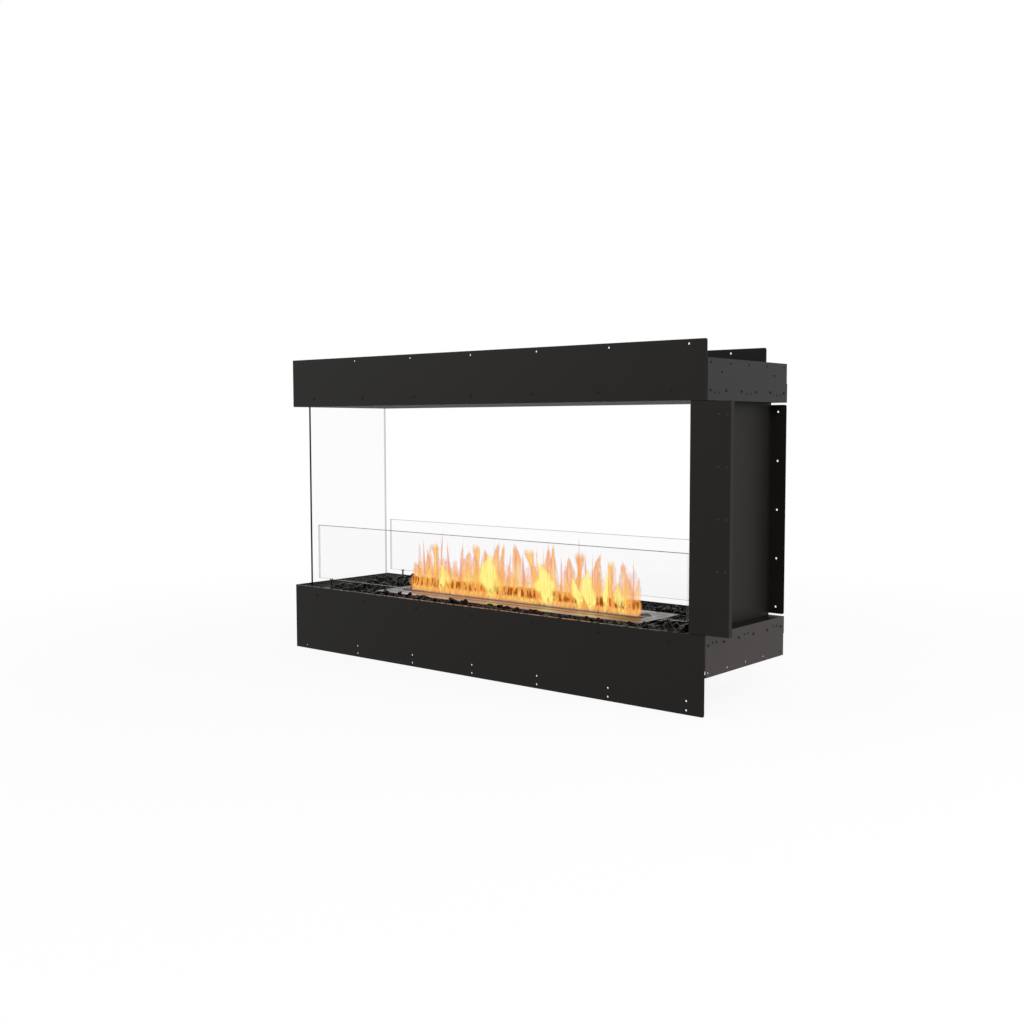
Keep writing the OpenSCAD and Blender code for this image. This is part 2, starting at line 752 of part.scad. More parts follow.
// The underside of the header, with a slot for the side glass and an upstand at the right end
module header_soffit() {
    color(coat)
        placed()
            difference() {
                union() {
                    slab([frame_x0, frame_y0, soffit_z], [in_x1, frame_y1, soffit_z + skin_t]);
                    slab([in_x1 - skin_t, in_y0, soffit_z], [in_x1, in_y1, soffit_z + end_fold_h]);
                }
                slab([groove_x0, glass_y0 - side_clear, soffit_z - cut],
                     [groove_x1, glass_y1 + side_clear, soffit_z + skin_t + cut]);
                for (y = end_screw_ys)
                    drill_x(y, header_end_screw_z, in_x1 - skin_t, in_x1, shank_d + 2 * shank_clear);
                for (y = rivet_ys)
                    drill_x(y, header_rivet_z, in_x1 - skin_t, in_x1, rivet_d + 2 * shank_clear);
                for (y = wall_screw_ys)
                    translate([wall_screw_x, y, soffit_z - cut])
                        cylinder(h = skin_t + 2 * cut, d = shank_d + 2 * shank_clear);
            }
}

module header_lid() {
    color(coat)
        placed()
            slab([frame_x0, frame_y0, header_lid_z - skin_t], [in_x1, frame_y1, header_lid_z]);
}

module header_insulation() {
    color([0.86, 0.84, 0.8])
        placed()
            slab([groove_x1 + board_gap, frame_y0 + fold_w + 2, soffit_z + skin_t],
                 [liner_x0 - 10, frame_y1 - fold_w - 2, soffit_z + skin_t + header_board_t]);
}

module header_stiffeners() {
    color(zinc)
        placed()
            for (x = stiffener_xs)
                channel_y(x, header_lid_z - skin_t - stiffener_h, header_lid_z - skin_t);
}

// End wall

module wall_panel() {
    color(coat)
        placed()
            slab([wall_x, skin_t, rim_z], [wall_x + skin_t, in_y1, soffit_z]);
}

module wall_front_flange() {
    z0 = rim_z + front_flange_slit;
    z1 = soffit_z - front_flange_slit;
    color(coat)
        placed()
            difference() {
                union() {
                    slab([wall_x, 0, z0], [front_flange_x1, skin_t, z1]);
                    slab([front_flange_x1 - skin_t, 0, z0], [front_flange_x1, flange_return, z1]);
                    slab([wall_x + skin_t, 0, z0], [wall_x + 2 * skin_t, flange_leg, z1]);
                }
                for (inset = [pair_in, pair_out], z = spread(rim_z + pair_margin, soffit_z - pair_margin, 5))
                    drill_y(front_flange_x1 - inset, z, 0, skin_t, hole_d);
            }
}

module wall_back_flange() {
    z0 = rim_z + back_flange_slit;
    z1 = soffit_z - back_flange_slit;
    color(coat)
        placed()
            difference() {
                union() {
                    face_sheet(wall_x - skin_t, back_flange_x1, in_y1, frame_y1, z0, z1,
                               round_top = true, round_bottom = true);
                    slab([wall_x - skin_t, in_y1 - flange_leg + skin_t, z0], [wall_x, frame_y1, z1]);
                }
                for (z = spread(rim_z + flange_margin, soffit_z - flange_margin, 5))
                    drill_y(wall_x + back_flange_w / 2 - 0.8, z, in_y1, frame_y1, hole_d);
            }
}

// The inner lining of the wall, folded back to the wall panel at both edges
module wall_liner() {
    z0 = rim_z;
    z1 = soffit_z;
    color(coat)
        placed() {
            slab([liner_x0, liner_setback, z0], [liner_x0 + skin_t, box_depth - liner_setback, z1]);
            for (y = [liner_setback, box_depth - liner_setback - skin_t])
                slab([liner_x0, y, z0], [wall_x, y + skin_t, z1]);
        }
}

module wall_insulation() {
    color([0.86, 0.84, 0.8])
        placed()
            slab([liner_x0 + skin_t, wall_in_y0 + side_clear, rim_z + wall_angle_h + 1],
                 [wall_x, wall_in_y1 - side_clear, soffit_z - wall_angle_h - 1]);
}

// An angle inside the wall: one leg against the wall panel, one leg against the deck or the soffit
module wall_angle(seat_z, up) {
    foot_z0 = up > 0 ? seat_z : seat_z - skin_t;
    leg_z0 = up > 0 ? seat_z : seat_z - wall_angle_h;
    difference() {
        union() {
            slab([liner_x0 + skin_t, wall_in_y0 + 1, foot_z0], [wall_x, wall_in_y1 - 1, foot_z0 + skin_t]);
            slab([wall_x - skin_t, wall_in_y0 + 1, leg_z0], [wall_x, wall_in_y1 - 1, leg_z0 + wall_angle_h]);
        }
        for (y = wall_screw_ys)
            translate([wall_screw_x, y, foot_z0 - cut])
                cylinder(h = skin_t + 2 * cut, d = shank_d + 2 * shank_clear);
    }
}

module wall_bottom_angle() {
    color(zinc)
        placed()
            wall_angle(rim_z, 1);
}

module wall_top_angle() {
    color(zinc)
        placed()
            wall_angle(soffit_z, -1);
}

module wall_screws() {
    color(zinc)
        placed()
            for (y = wall_screw_ys) {
                translate([wall_screw_x, y, rim_z + skin_t])
                    screw(2 * skin_t + screw_tail);
                translate([wall_screw_x, y, soffit_z - skin_t])
                    mirror([0, 0, 1])
                        screw(2 * skin_t + screw_tail);
            }
}

// Glass

module side_glass() {
    color([0.8, 0.88, 0.86, 0.35])
        placed()
            slab([side_glass_inset - side_glass_t / 2, glass_y0, glass_z0],
                 [side_glass_inset + side_glass_t / 2, glass_y1, glass_z1]);
}

// The folded sill between the left panel and the tray, with the groove that the side glass stands in
module side_glass_sill() {
    z1 = tray_top_z + skin_t;
    color(coat)
        placed()
            difference() {
                union() {
                    slab([frame_x0, in_y0, tray_top_z], [sill_x1, in_y1, z1]);
                    slab([groove_x0 - skin_t, tray_y0, groove_z0], [groove_x1 + skin_t, tray_y1, z1]);
                }
                slab([groove_x0, tray_y0, groove_z0 + skin_t], [groove_x1, tray_y1, z1 + cut]);
            }
}

// The inverted groove above the soffit, with a foot flange on each side
module side_glass_head_channel() {
    color(coat)
        placed()
            difference() {
                union() {
                    slab([groove_x0 - skin_t - groove_foot, glass_y0, soffit_z + skin_t],
                         [groove_x1 + skin_t + groove_foot, glass_y1, soffit_z + 2 * skin_t]);
                    slab([groove_x0 - skin_t, glass_y0, soffit_z + skin_t],
                         [groove_x1 + skin_t, glass_y1, head_groove_z1]);
                }
                slab([groove_x0, glass_y0 - cut, soffit_z],
                     [groove_x1, glass_y1 + cut, head_groove_z1 - skin_t]);
            }
}

// A U shaped strip that wraps the lower edge of the side glass, and one that wraps the upper edge
module side_glass_lower_seal() {
    z0 = groove_z0 + skin_t;
    color([0.05, 0.05, 0.05])
        placed()
            difference() {
                slab([groove_x0, glass_y0, z0], [groove_x1, glass_y1, z0 + seal_h]);
                slab([side_glass_inset - side_glass_t / 2, glass_y0 - cut, glass_z0],
                     [side_glass_inset + side_glass_t / 2, glass_y1 + cut, z0 + seal_h + cut]);
            }
}

module side_glass_upper_seal() {
    z1 = head_groove_z1 - skin_t;
    color([0.05, 0.05, 0.05])
        placed()
            difference() {
                slab([groove_x0, glass_y0, z1 - seal_h], [groove_x1, glass_y1, z1]);
                slab([side_glass_inset - side_glass_t / 2, glass_y0 - cut, z1 - seal_h - cut],
                     [side_glass_inset + side_glass_t / 2, glass_y1 + cut, glass_z1]);
            }
}

module glass_screen(y) {
    slab([screen_x0, y - screen_t / 2, screen_z0], [screen_x1, y + screen_t / 2, screen_z0 + screen_h]);
}

module front_screen() {
    color([0.8, 0.88, 0.86, 0.35])
        placed()
            glass_screen(screen_ys[0]);
}

module back_screen() {
    color([0.8, 0.88, 0.86, 0.35])
        placed()
            glass_screen(screen_ys[1]);
}

// A turned post that stands on the tray floor and carries a screen in its forked head
module screen_post(x, y) {
    translate([x, y, 0])
        difference() {
            union() {
                translate([0, 0, tray_z0 - nut_h - 1])
                    cylinder(h = nut_h + 1 + skin_t, d = stud_d);
                translate([0, 0, tray_floor_z])
                    cylinder(h = post_taper_z - tray_floor_z, d = post_d);
                translate([0, 0, post_taper_z])
                    cylinder(h = post_taper_h, d1 = post_d, d2 = post_neck_d);
                translate([0, 0, post_taper_z + post_taper_h])
                    cylinder(h = post_slot_z - post_taper_z - post_taper_h, d = post_neck_d);
                slab([-post_head_w / 2, -post_fork_y / 2, post_slot_z - prong_t],
                     [post_head_w / 2, post_fork_y / 2, post_top_z]);
            }
            slab([-post_head_w / 2 - cut, -screen_t / 2 - side_clear, post_slot_z],
                 [post_head_w / 2 + cut, screen_t / 2 + side_clear, post_top_z + cut]);
        }
}

module front_screen_posts() {
    color(coat)
        placed()
            for (x = post_xs)
                screen_post(x, screen_ys[0]);
}

module back_screen_posts() {
    color(coat)
        placed()
            for (x = post_xs)
                screen_post(x, screen_ys[1]);
}

module post_nuts() {
    color(zinc)
        placed()
            for (x = post_xs, y = screen_ys)
                translate([x, y, tray_z0 - nut_h])
                    difference() {
                        cylinder(h = nut_h, d = nut_d, $fn = 6);
                        translate([0, 0, -cut])
                            cylinder(h = nut_h + 2 * cut, d = stud_d + 2 * shank_clear);
                    }
}

// Burner

// A rectangular tub round the burner's middle, open at the top
module tub(length, width, z0, z1) {
    difference() {
        block(length, width, z0, z1);
        block(length - 2 * skin_t, width - 2 * skin_t, z0 + skin_t, z1 + cut);
    }
}

module block(length, width, z0, z1) {
    slab([burner_x - length / 2, burner_y - width / 2, z0],
         [burner_x + length / 2, burner_y + width / 2, z1]);
}

// Two angles on the tray floor that carry the burner and keep it in place
module burner_rails() {
    half = casing_w / 2 + side_clear;
    x0 = burner_x - casing_l / 2 + rail_inset;
    x1 = burner_x + casing_l / 2 - rail_inset;
    color(zinc)
        placed()
            for (side = [-1, 1]) {
                edge = burner_y + side * half;
                slab([x0, min(edge, edge + side * rail_t), tray_floor_z],
                     [x1, max(edge, edge + side * rail_t), tray_floor_z + rail_h]);
                slab([x0, min(edge, edge - side * fold_w), tray_floor_z],
                     [x1, max(edge, edge - side * fold_w), tray_floor_z + rail_t]);
            }
}

module burner_casing() {
    color(steel)
        placed()
            tub(casing_l, casing_w, casing_z0, casing_z1);
}

// The inner fuel tank hangs by its rim on the casing
module fuel_tank() {
    color(steel)
        placed() {
            tub(tank_l, tank_w, tank_z0, tank_rim_z);
            difference() {
                block(casing_l, casing_w, casing_z1, tank_rim_z);
                block(tank_l - skin_t, tank_w - skin_t, casing_z1 - cut, tank_rim_z + cut);
            }
        }
}

module fuel_absorber() {
    color([0.9, 0.89, 0.85])
        placed()
            block(tank_l - 2 * (skin_t + absorber_gap), tank_w - 2 * (skin_t + absorber_gap),
                  tank_z0 + skin_t, tank_z0 + skin_t + absorber_h);
}

module burner_top_plate() {
    color(steel)
        placed()
            difference() {
                union() {
                    block(burner_len, burner_w, tank_rim_z, plate_z1);
                    block(slot_len + 2 * lip_t, slot_w + 2 * lip_t, tank_rim_z, plate_z1 + lip_h);
                }
                block(slot_len, slot_w, tank_rim_z - cut, plate_z1 + lip_h + cut);
            }
}

// The shutter slides towards the front under the top plate and shuts the slot, pushed by a tab at each end
module shutter() {
    half = shutter_l / 2;
    tab_x = (slot_len - tab_w) / 2 - 2;
    color(steel)
        placed() {
            slab([burner_x - half, shutter_y0, shutter_z0], [burner_x + half, shutter_y1, shutter_z1]);
            for (x = [burner_x - tab_x, burner_x + tab_x])
                slab([x - tab_w / 2, tab_y0, shutter_z0],
                     [x + tab_w / 2, tab_y0 + skin_t, plate_z1 + lip_h + tab_rise]);
        }
}

// A Z shaped guide under each end of the top plate
module shutter_guides() {
    lip_z1 = shutter_z0 - side_clear;
    y0 = burner_y - slot_w / 2 - shutter_lap - 3;
    color(steel)
        placed()
            for (side = [-1, 1]) {
                edge = burner_x + side * (shutter_l / 2 + side_clear);
                slab([min(edge, edge + side * skin_t), y0, lip_z1 - skin_t],
                     [max(edge, edge + side * skin_t), shutter_y1 + 1, tank_rim_z]);
                slab([min(edge, edge - side * guide_lip), y0, lip_z1 - skin_t],
                     [max(edge, edge - side * guide_lip), shutter_y1 + 1, lip_z1]);
            }
}

// Fixings

fascia_grip = fascia_t + skin_t + screw_tail;

module front_screw_row(z) {
    for (x = screw_xs)
        translate([x, 0, z])
            rotate([90, 0, 0])
                screw(fascia_grip);
}

module back_screw_row(z) {
    for (x = screw_xs)
        translate([x, back_y, z])
            rotate([-90, 0, 0])
                screw(fascia_grip);
}

module left_screw_row(z) {
    for (y = left_screw_ys)
        translate([0, y, z])
            rotate([0, -90, 0])
                screw(fascia_grip);
}

module end_screw_row(z) {
    for (y = end_screw_ys)
        translate([box_len, y, z])
            rotate([0, 90, 0])
                screw(2 * skin_t + screw_tail);
}

module end_rivet_row(z) {
    for (y = rivet_ys)
        translate([box_len, y, z])
            rotate([0, 90, 0])
                rivet(2 * skin_t + rivet_tail);
}

module base_front_screws() {
    color(coat)
        placed()
            front_screw_row(base_screw_z);
}

module base_left_screws() {
    color(coat)
        placed()
            left_screw_row(base_screw_z);
}

module base_back_screws() {
    color(coat)
        placed()
            back_screw_row(base_screw_z);
}

module base_side_screws() {
    color(coat)
        placed()
            end_screw_row(base_end_screw_z);
}

module header_front_screws() {
    color(coat)
        placed()
            front_screw_row(header_screw_z);
}

module header_left_screws() {
    color(coat)
        placed()
            left_screw_row(header_screw_z);
}

module header_back_screws() {
    color(coat)
        placed()
            back_screw_row(header_screw_z);
}

module header_side_screws() {
    color(coat)
        placed()
            end_screw_row(header_end_screw_z);
}

module base_rivets() {
    color(coat)
        placed()
            end_rivet_row(base_rivet_z);
}

module header_rivets() {
    color(coat)
        placed()
            end_rivet_row(header_rivet_z);
}

base_front_fascia();
base_left_fascia();
base_back_fascia();
base_front_frame();
base_back_frame();
base_left_panel();
base_right_panel();
base_end_deck();
tray_crossmembers();
media_tray();
coal_bed();
header_front_fascia();
header_left_fascia();
header_back_fascia();
header_front_frame();
header_back_frame();
header_left_panel();
header_right_panel();
header_soffit();
header_lid();
header_insulation();
header_stiffeners();
wall_panel();
wall_front_flange();
wall_back_flange();
wall_liner();
wall_insulation();
wall_bottom_angle();
wall_top_angle();
wall_screws();
side_glass();
side_glass_sill();
side_glass_head_channel();
side_glass_lower_seal();
side_glass_upper_seal();
front_screen();
back_screen();
front_screen_posts();
back_screen_posts();
post_nuts();
burner_rails();
burner_casing();
fuel_tank();
fuel_absorber();
burner_top_plate();
shutter();
shutter_guides();
base_front_screws();
base_left_screws();
base_back_screws();
base_side_screws();
header_front_screws();
header_left_screws();
header_back_screws();
header_side_screws();
base_rivets();
header_rivets();
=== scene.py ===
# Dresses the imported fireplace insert: coat, steel, glass, coal, flames and a plain studio.
# Lengths are in metres, apart from those of the flames, which are in millimetres.
import bpy
import bmesh
import json
import math
import random
import numpy as np
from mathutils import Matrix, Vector


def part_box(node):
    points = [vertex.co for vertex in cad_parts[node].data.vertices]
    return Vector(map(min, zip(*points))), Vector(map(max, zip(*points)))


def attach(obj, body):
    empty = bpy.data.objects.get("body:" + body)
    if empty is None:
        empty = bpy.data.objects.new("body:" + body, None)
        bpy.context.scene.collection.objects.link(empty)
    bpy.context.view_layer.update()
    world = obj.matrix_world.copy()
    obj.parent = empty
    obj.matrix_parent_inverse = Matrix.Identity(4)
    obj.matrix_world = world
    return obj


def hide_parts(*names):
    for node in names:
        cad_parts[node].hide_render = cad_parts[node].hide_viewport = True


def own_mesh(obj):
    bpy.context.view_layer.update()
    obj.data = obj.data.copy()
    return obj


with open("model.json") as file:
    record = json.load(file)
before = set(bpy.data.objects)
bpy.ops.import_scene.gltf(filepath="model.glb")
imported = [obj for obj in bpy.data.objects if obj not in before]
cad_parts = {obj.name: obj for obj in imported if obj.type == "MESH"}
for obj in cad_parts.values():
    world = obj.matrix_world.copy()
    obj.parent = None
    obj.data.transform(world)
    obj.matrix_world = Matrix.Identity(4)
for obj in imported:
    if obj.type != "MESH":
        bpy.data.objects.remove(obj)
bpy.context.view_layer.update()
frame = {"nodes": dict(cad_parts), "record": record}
nodes = frame["nodes"]
print("frame loaded:", len(nodes), "nodes")


# A socket that takes part in sums: wire * 2 + 1 adds the Math nodes
class Wire:
    def __init__(self, finish, socket):
        self.finish = finish
        self.socket = socket

    def maths(self, operation, first, second):
        return self.finish.maths(operation, first, second)

    def __add__(self, other):
        return self.maths("ADD", self, other)

    def __radd__(self, other):
        return self.maths("ADD", other, self)

    def __sub__(self, other):
        return self.maths("SUBTRACT", self, other)

    def __rsub__(self, other):
        return self.maths("SUBTRACT", other, self)

    def __mul__(self, other):
        return self.maths("MULTIPLY", self, other)

    def __rmul__(self, other):
        return self.maths("MULTIPLY", other, self)

    def __truediv__(self, other):
        return self.maths("DIVIDE", self, other)

    def __abs__(self):
        return self.maths("ABSOLUTE", self, 0)

    def orMore(self, other):
        return self.maths("MAXIMUM", self, other)

    def clamped(self):
        return self.maths("MINIMUM", self.orMore(0), 1)


# The nodes of one material or world
class Finish:
    def __init__(self, owner):
        owner.use_nodes = True
        self.owner = owner
        self.tree = owner.node_tree
        self.tree.nodes.clear()

    # Adds a node: settings first, then values or wires for its sockets, and gives back one output
    def node(self, kind, settings={}, sockets={}, out=0):
        made = self.tree.nodes.new(kind)
        for key, value in settings.items():
            if key == "stops":
                ramp = made.color_ramp
                while len(ramp.elements) < len(value):
                    ramp.elements.new(1)
                for element, (at, tint) in zip(ramp.elements, value):
                    element.position = at
                    element.color = (*tint, 1)
            else:
                setattr(made, key, value)
        for key, value in sockets.items():
            if isinstance(value, Wire):
                self.tree.links.new(value.socket, made.inputs[key])
            else:
                made.inputs[key].default_value = value
        return Wire(self, made.outputs[out]) if made.outputs else None

    def maths(self, operation, first, second):
        return self.node("ShaderNodeMath", {"operation": operation}, {0: first, 1: second})

    def place(self):
        return self.node("ShaderNodeTexCoord", out="Object")

    def along(self, axis):
        return self.node("ShaderNodeSeparateXYZ", {}, {0: self.place()}, out=axis)

    def grain(self, size, detail=2.0, stretch=(1, 1, 1)):
        place = self.node("ShaderNodeVectorMath", {"operation": "MULTIPLY"}, {0: self.place(), 1: stretch})
        return self.node("ShaderNodeTexNoise", {}, {"Vector": place, "Scale": 1 / size, "Detail": detail})

    # The Mix node has its colours in sockets 6 and 7 and gives the mixed colour at output 2
    def blend(self, share, first, second):
        ends = [tint if isinstance(tint, Wire) else (*tint, 1) for tint in (first, second)]
        return self.node("ShaderNodeMix", {"data_type": "RGBA"}, {0: share, 6: ends[0], 7: ends[1]}, out=2)

    def bumps(self, height, strength, depth):
        return self.node("ShaderNodeBump", {}, {"Height": height, "Strength": strength, "Distance": depth})

    def end(self, shader, kind="ShaderNodeOutputMaterial"):
        self.node(kind, {}, {"Surface": shader})
        return self.owner

    def surface(self, sockets):
        return self.end(self.node("ShaderNodeBsdfPrincipled", {}, sockets))


def newFinish(name):
    return Finish(bpy.data.materials.new(name))


# Coated sheet metal: fine powder grain, a slow drift in tone, and, where one is asked for, a pale band along
# the top edge that is a painted highlight, broken in patches. Near the fire that painted highlight is
# warmer, as painted firelight.
coatLooks = {
    "blackCoat": {"dark": (0.0052, 0.0046, 0.0038), "light": (0.0090, 0.0081, 0.0067),
                  "rough": 0.5, "shine": 0.14},
    # Painted light: the black coat made lighter for the end panels that face the light from the right
    "paintedSideLightCoat": {"dark": (0.029, 0.0235, 0.0232), "light": (0.038, 0.031, 0.0305),
                 "rough": 0.5, "shine": 0.18},
    # Painted light: the black coat made lighter for the header's right end panel, less so than the base's
    "headerPaintedSideLightCoat": {"dark": (0.0152, 0.0152, 0.0152), "light": (0.021, 0.021, 0.021),
                  "rough": 0.5, "shine": 0.14},
    # Painted reflection and firelight: a lighter, warmer copy of the black coat for the soffit
    "soffitPaintedGlowCoat": {"dark": (0.012, 0.009, 0.0066), "light": (0.017, 0.013, 0.0098),
                 "rough": 0.6, "shine": 0.09},
    # Painted shade: a darker copy of the black coat for the side glass's sill, with a duller shine
    "deckPaintedShadeCoat": {"dark": (0.0035, 0.0034, 0.0032), "light": (0.0075, 0.0072, 0.0068),
                 "rough": 0.7, "shine": 0.04},
    "powder": {"drift": 0.16, "grit": 0.0011, "speck": 0.004, "speckGain": 1.6, "speckShare": 0.3,
               "roughDrift": 0.08, "relief": 0.18, "depth": 0.00012},
    # Painted highlight along a top edge, and painted firelight where it is near the fire
    "paintedRimLight": {"tint": (0.22, 0.19, 0.165), "paintedFirelightTint": (0.62, 0.32, 0.22), "fireReach": 0.34, "fireRun": 0.08,
             "width": 0.0014, "run": 0.0003, "endsAt": 0.47, "endRun": 0.01,
             "patch": 0.012, "patchFrom": 0.38, "patchGain": 4},
}


def coatFinish(name, look, paintedRimLightAt=None):
    f = newFinish(name)
    powder = coatLooks["powder"]
    drift = f.grain(powder["drift"], detail=3)
    grit = f.grain(powder["grit"], detail=1)
    specks = (f.grain(powder["speck"]) - 0.5) * powder["speckGain"] + 0.5
    mottle = drift * (1 - powder["speckShare"]) + specks * powder["speckShare"]
    tone = f.blend(mottle.clamped(), look["dark"], look["light"])
    # Painted highlight on the top edge, tinted warm near the fire as painted firelight
    if paintedRimLightAt is not None:
        paintedRimLight = coatLooks["paintedRimLight"]
        patches = ((f.grain(paintedRimLight["patch"], detail=3) - paintedRimLight["patchFrom"]) * paintedRimLight["patchGain"]).clamped()
        paintedFirelightShare = ((paintedRimLight["fireReach"] - abs(f.along("X"))) / paintedRimLight["fireRun"]).clamped()
        band = ((f.along("Z") - (paintedRimLightAt - paintedRimLight["width"])) / paintedRimLight["run"]).clamped()
        band = band * ((paintedRimLight["endsAt"] - f.along("X")) / paintedRimLight["endRun"]).clamped()
        tone = f.blend(band * patches, tone, f.blend(paintedFirelightShare, paintedRimLight["tint"], paintedRimLight["paintedFirelightTint"]))
    return f.surface({
        "Base Color": tone,
        "Roughness": look["rough"] + (drift - 0.5) * powder["roughDrift"],
        "Specular IOR Level": look["shine"],
        "Normal": f.bumps(grit, powder["relief"], powder["depth"])})


# Brushed stainless steel has its lines along X, and zinc plate is mottled. The burner's top plate is paler
# and bluish over the middle of its length, browner and darker at the slot's lip, and has a shallow pressed
# line about both, whose dark tint is painted shade in its crease.
steelLooks = {
    "brushedStainless": {"dark": (0.165, 0.16, 0.152), "light": (0.3, 0.29, 0.275), "rough": 0.42,
                         "mark": 0.0006, "stretch": (0.02, 1, 1)},
    "zincPlate": {"dark": (0.3, 0.31, 0.32), "light": (0.44, 0.45, 0.46), "rough": 0.42,
                  "mark": 0.006, "stretch": (1, 1, 1)},
    "wear": {"stain": 0.05, "stainShare": 0.4, "roughMarks": 0.16, "roughStains": 0.12,
             "relief": 0.12, "depth": 0.00015},
    "paleMiddle": {"tint": (0.64, 0.60, 0.70), "reach": 0.335, "run": 0.06, "share": 0.65, "stainShare": 0.4},
    "darkLip": {"tint": (0.22, 0.12, 0.06), "reach": (0.356, 0.027), "run": (0.01, 0.004), "share": 0.8},
    "pressedLineAndShade": {"tint": (0.06, 0.052, 0.045), "reach": (0.3765, 0.046), "width": 0.0075, "share": 0.95,
                    "dent": 2},
}


# The tone and the relief of the slotted plate, which go by the distance from its middle
def slottedTone(f, tone, marks, stains, slottedNode):
    bright, lipTone, line = steelLooks["paleMiddle"], steelLooks["darkLip"], steelLooks["pressedLineAndShade"]
    low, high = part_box(slottedNode)
    fromMiddleX = abs(f.along("X") - (low.x + high.x) / 2)
    fromMiddleY = abs(f.along("Y") - (low.y + high.y) / 2)
    # Paler and bluish over the middle of the length, fading out towards both ends
    inPaleMiddle = ((bright["reach"] - fromMiddleX) / bright["run"]).clamped()
    tone = f.blend(inPaleMiddle * (bright["share"] + stains * bright["stainShare"]), tone, bright["tint"])
    # Browner and darker close to the slot's lip
    nearLipX = ((lipTone["reach"][0] - fromMiddleX) / lipTone["run"][0]).clamped()
    nearLipY = ((lipTone["reach"][1] - fromMiddleY) / lipTone["run"][1]).clamped()
    tone = f.blend(nearLipX * nearLipY * lipTone["share"], tone, lipTone["tint"])
    fromLine = abs((fromMiddleX - line["reach"][0]).orMore(fromMiddleY - line["reach"][1]))
    # Painted shade: the pressed line's crease is painted dark, and the same mask dents the bump
    pressed = (1 - fromLine / line["width"]).clamped()
    tone = f.blend(pressed * line["share"], tone, line["tint"])
    return tone, marks - pressed * line["dent"]


def steelFinish(name, look, slottedNode=None):
    f = newFinish(name)
    wear = steelLooks["wear"]
    marks = f.grain(look["mark"], stretch=look["stretch"])
    stains = f.grain(wear["stain"], detail=4)
    mottle = marks * (1 - wear["stainShare"]) + stains * wear["stainShare"]
    tone = f.blend(mottle.clamped(), look["dark"], look["light"])
    relief = marks
    if slottedNode:
        tone, relief = slottedTone(f, tone, marks, stains, slottedNode)
    dulled = (marks - 0.5) * wear["roughMarks"] + (stains - 0.5) * wear["roughStains"]
    return f.surface({
        "Base Color": tone,
        "Metallic": 1.0,
        "Roughness": dulled + look["rough"],
        "Normal": f.bumps(relief, wear["relief"], wear["depth"])})


# Clear glass: faces nearly unseen, and each edge has its own painted tint and cover: a pale tint is a
# painted highlight, a dark one painted shade.
# An edge is given by its axis, its end of that axis (0 low, 1 high), its painted tint and its cover.
glassLooks = {
    "faceTint": (0.16, 0.17, 0.165), "faceCover": 0.012, "gleam": 0.35, "gleamPower": 5, "shine": 0.12,
    "smear": 0.05, "smearCover": 0.008, "rough": 0.05, "smearRough": 0.06,
    "arris": 0.0012, "arrisRun": 0.0002,
    "edges": {
        "front_screen": [("Z", 0, (0.5, 0.52, 0.5), 0.28), ("X", 0, (0.05, 0.055, 0.055), 0.32),
                         ("X", 1, (0.6, 0.62, 0.6), 0.16), ("Z", 1, (0.02, 0.022, 0.021), 0.8)],
        "back_screen": [("Z", 0, (0.5, 0.52, 0.5), 0.3), ("X", 0, (0.08, 0.085, 0.085), 0.34),
                        ("X", 1, (0.6, 0.62, 0.6), 0.05), ("Z", 1, (0.1, 0.105, 0.1), 0.4)],
        "side_glass": [("Y", 1, (0.12, 0.125, 0.12), 0.42), ("Y", 0, (0.004, 0.0045, 0.0045), 1.0)],
    },
}


def glassFinish(name, look):
    f = newFinish(name + "Sheet")
    low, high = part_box(name)
    smear = f.grain(look["smear"], detail=4)
    grazing = f.node("ShaderNodeLayerWeight", {}, {"Blend": 0.5}, out="Facing")
    gleam = f.maths("POWER", grazing, look["gleamPower"])
    tint = look["faceTint"]
    cover = gleam * look["gleam"] + smear * look["smearCover"] + look["faceCover"]
    for axis, end, paintedEdgeTint, edgeCover in look["edges"][name]:
        limit = (low, high)[end]["XYZ".index(axis)]
        band = ((look["arris"] - abs(f.along(axis) - limit)) / look["arrisRun"]).clamped()
        # Paints this arris: a painted highlight where its tint is pale, painted shade where it is dark
        tint = f.blend(band, tint, paintedEdgeTint)
        cover = cover + band * (edgeCover - cover)
    return f.surface({
        "Base Color": tint,
        "Roughness": look["rough"] + smear * look["smearRough"],
        "Specular IOR Level": look["shine"],
        "Alpha": cover})


# Pressed ceramic fibre: off-white felted board with small pits
fibreLook = {
    "dark": (0.52, 0.48, 0.41), "light": (0.86, 0.84, 0.79), "felt": 0.0022, "layers": (1, 1, 3),
    "pit": 0.011, "pitShare": 0.5, "rough": 0.92, "shine": 0.15, "relief": 0.6, "depth": 0.0008,
}


def fibreFinish(name, look):
    f = newFinish(name)
    felt = f.grain(look["felt"], 5, look["layers"])
    pits = f.grain(look["pit"], detail=3)
    mottle = felt * (1 - look["pitShare"]) + pits * look["pitShare"]
    return f.surface({
        "Base Color": f.blend(mottle.clamped(), look["dark"], look["light"]),
        "Roughness": look["rough"],
        "Specular IOR Level": look["shine"],
        "Normal": f.bumps(felt, look["relief"], look["depth"])})


# Black woven seal tape
sealLook = {
    "dark": (0.008, 0.008, 0.008), "light": (0.022, 0.022, 0.021), "weave": 0.0015,
    "rough": 0.8, "weaveRough": 0.1, "shine": 0.2, "relief": 0.5, "depth": 0.0005,
}


def sealFinish(name, look):
    f = newFinish(name)
    weave = f.grain(look["weave"], detail=3)
    return f.surface({
        "Base Color": f.blend(weave, look["dark"], look["light"]),
        "Roughness": look["rough"] + weave * look["weaveRough"],
        "Specular IOR Level": look["shine"],
        "Normal": f.bumps(weave, look["relief"], look["depth"])})


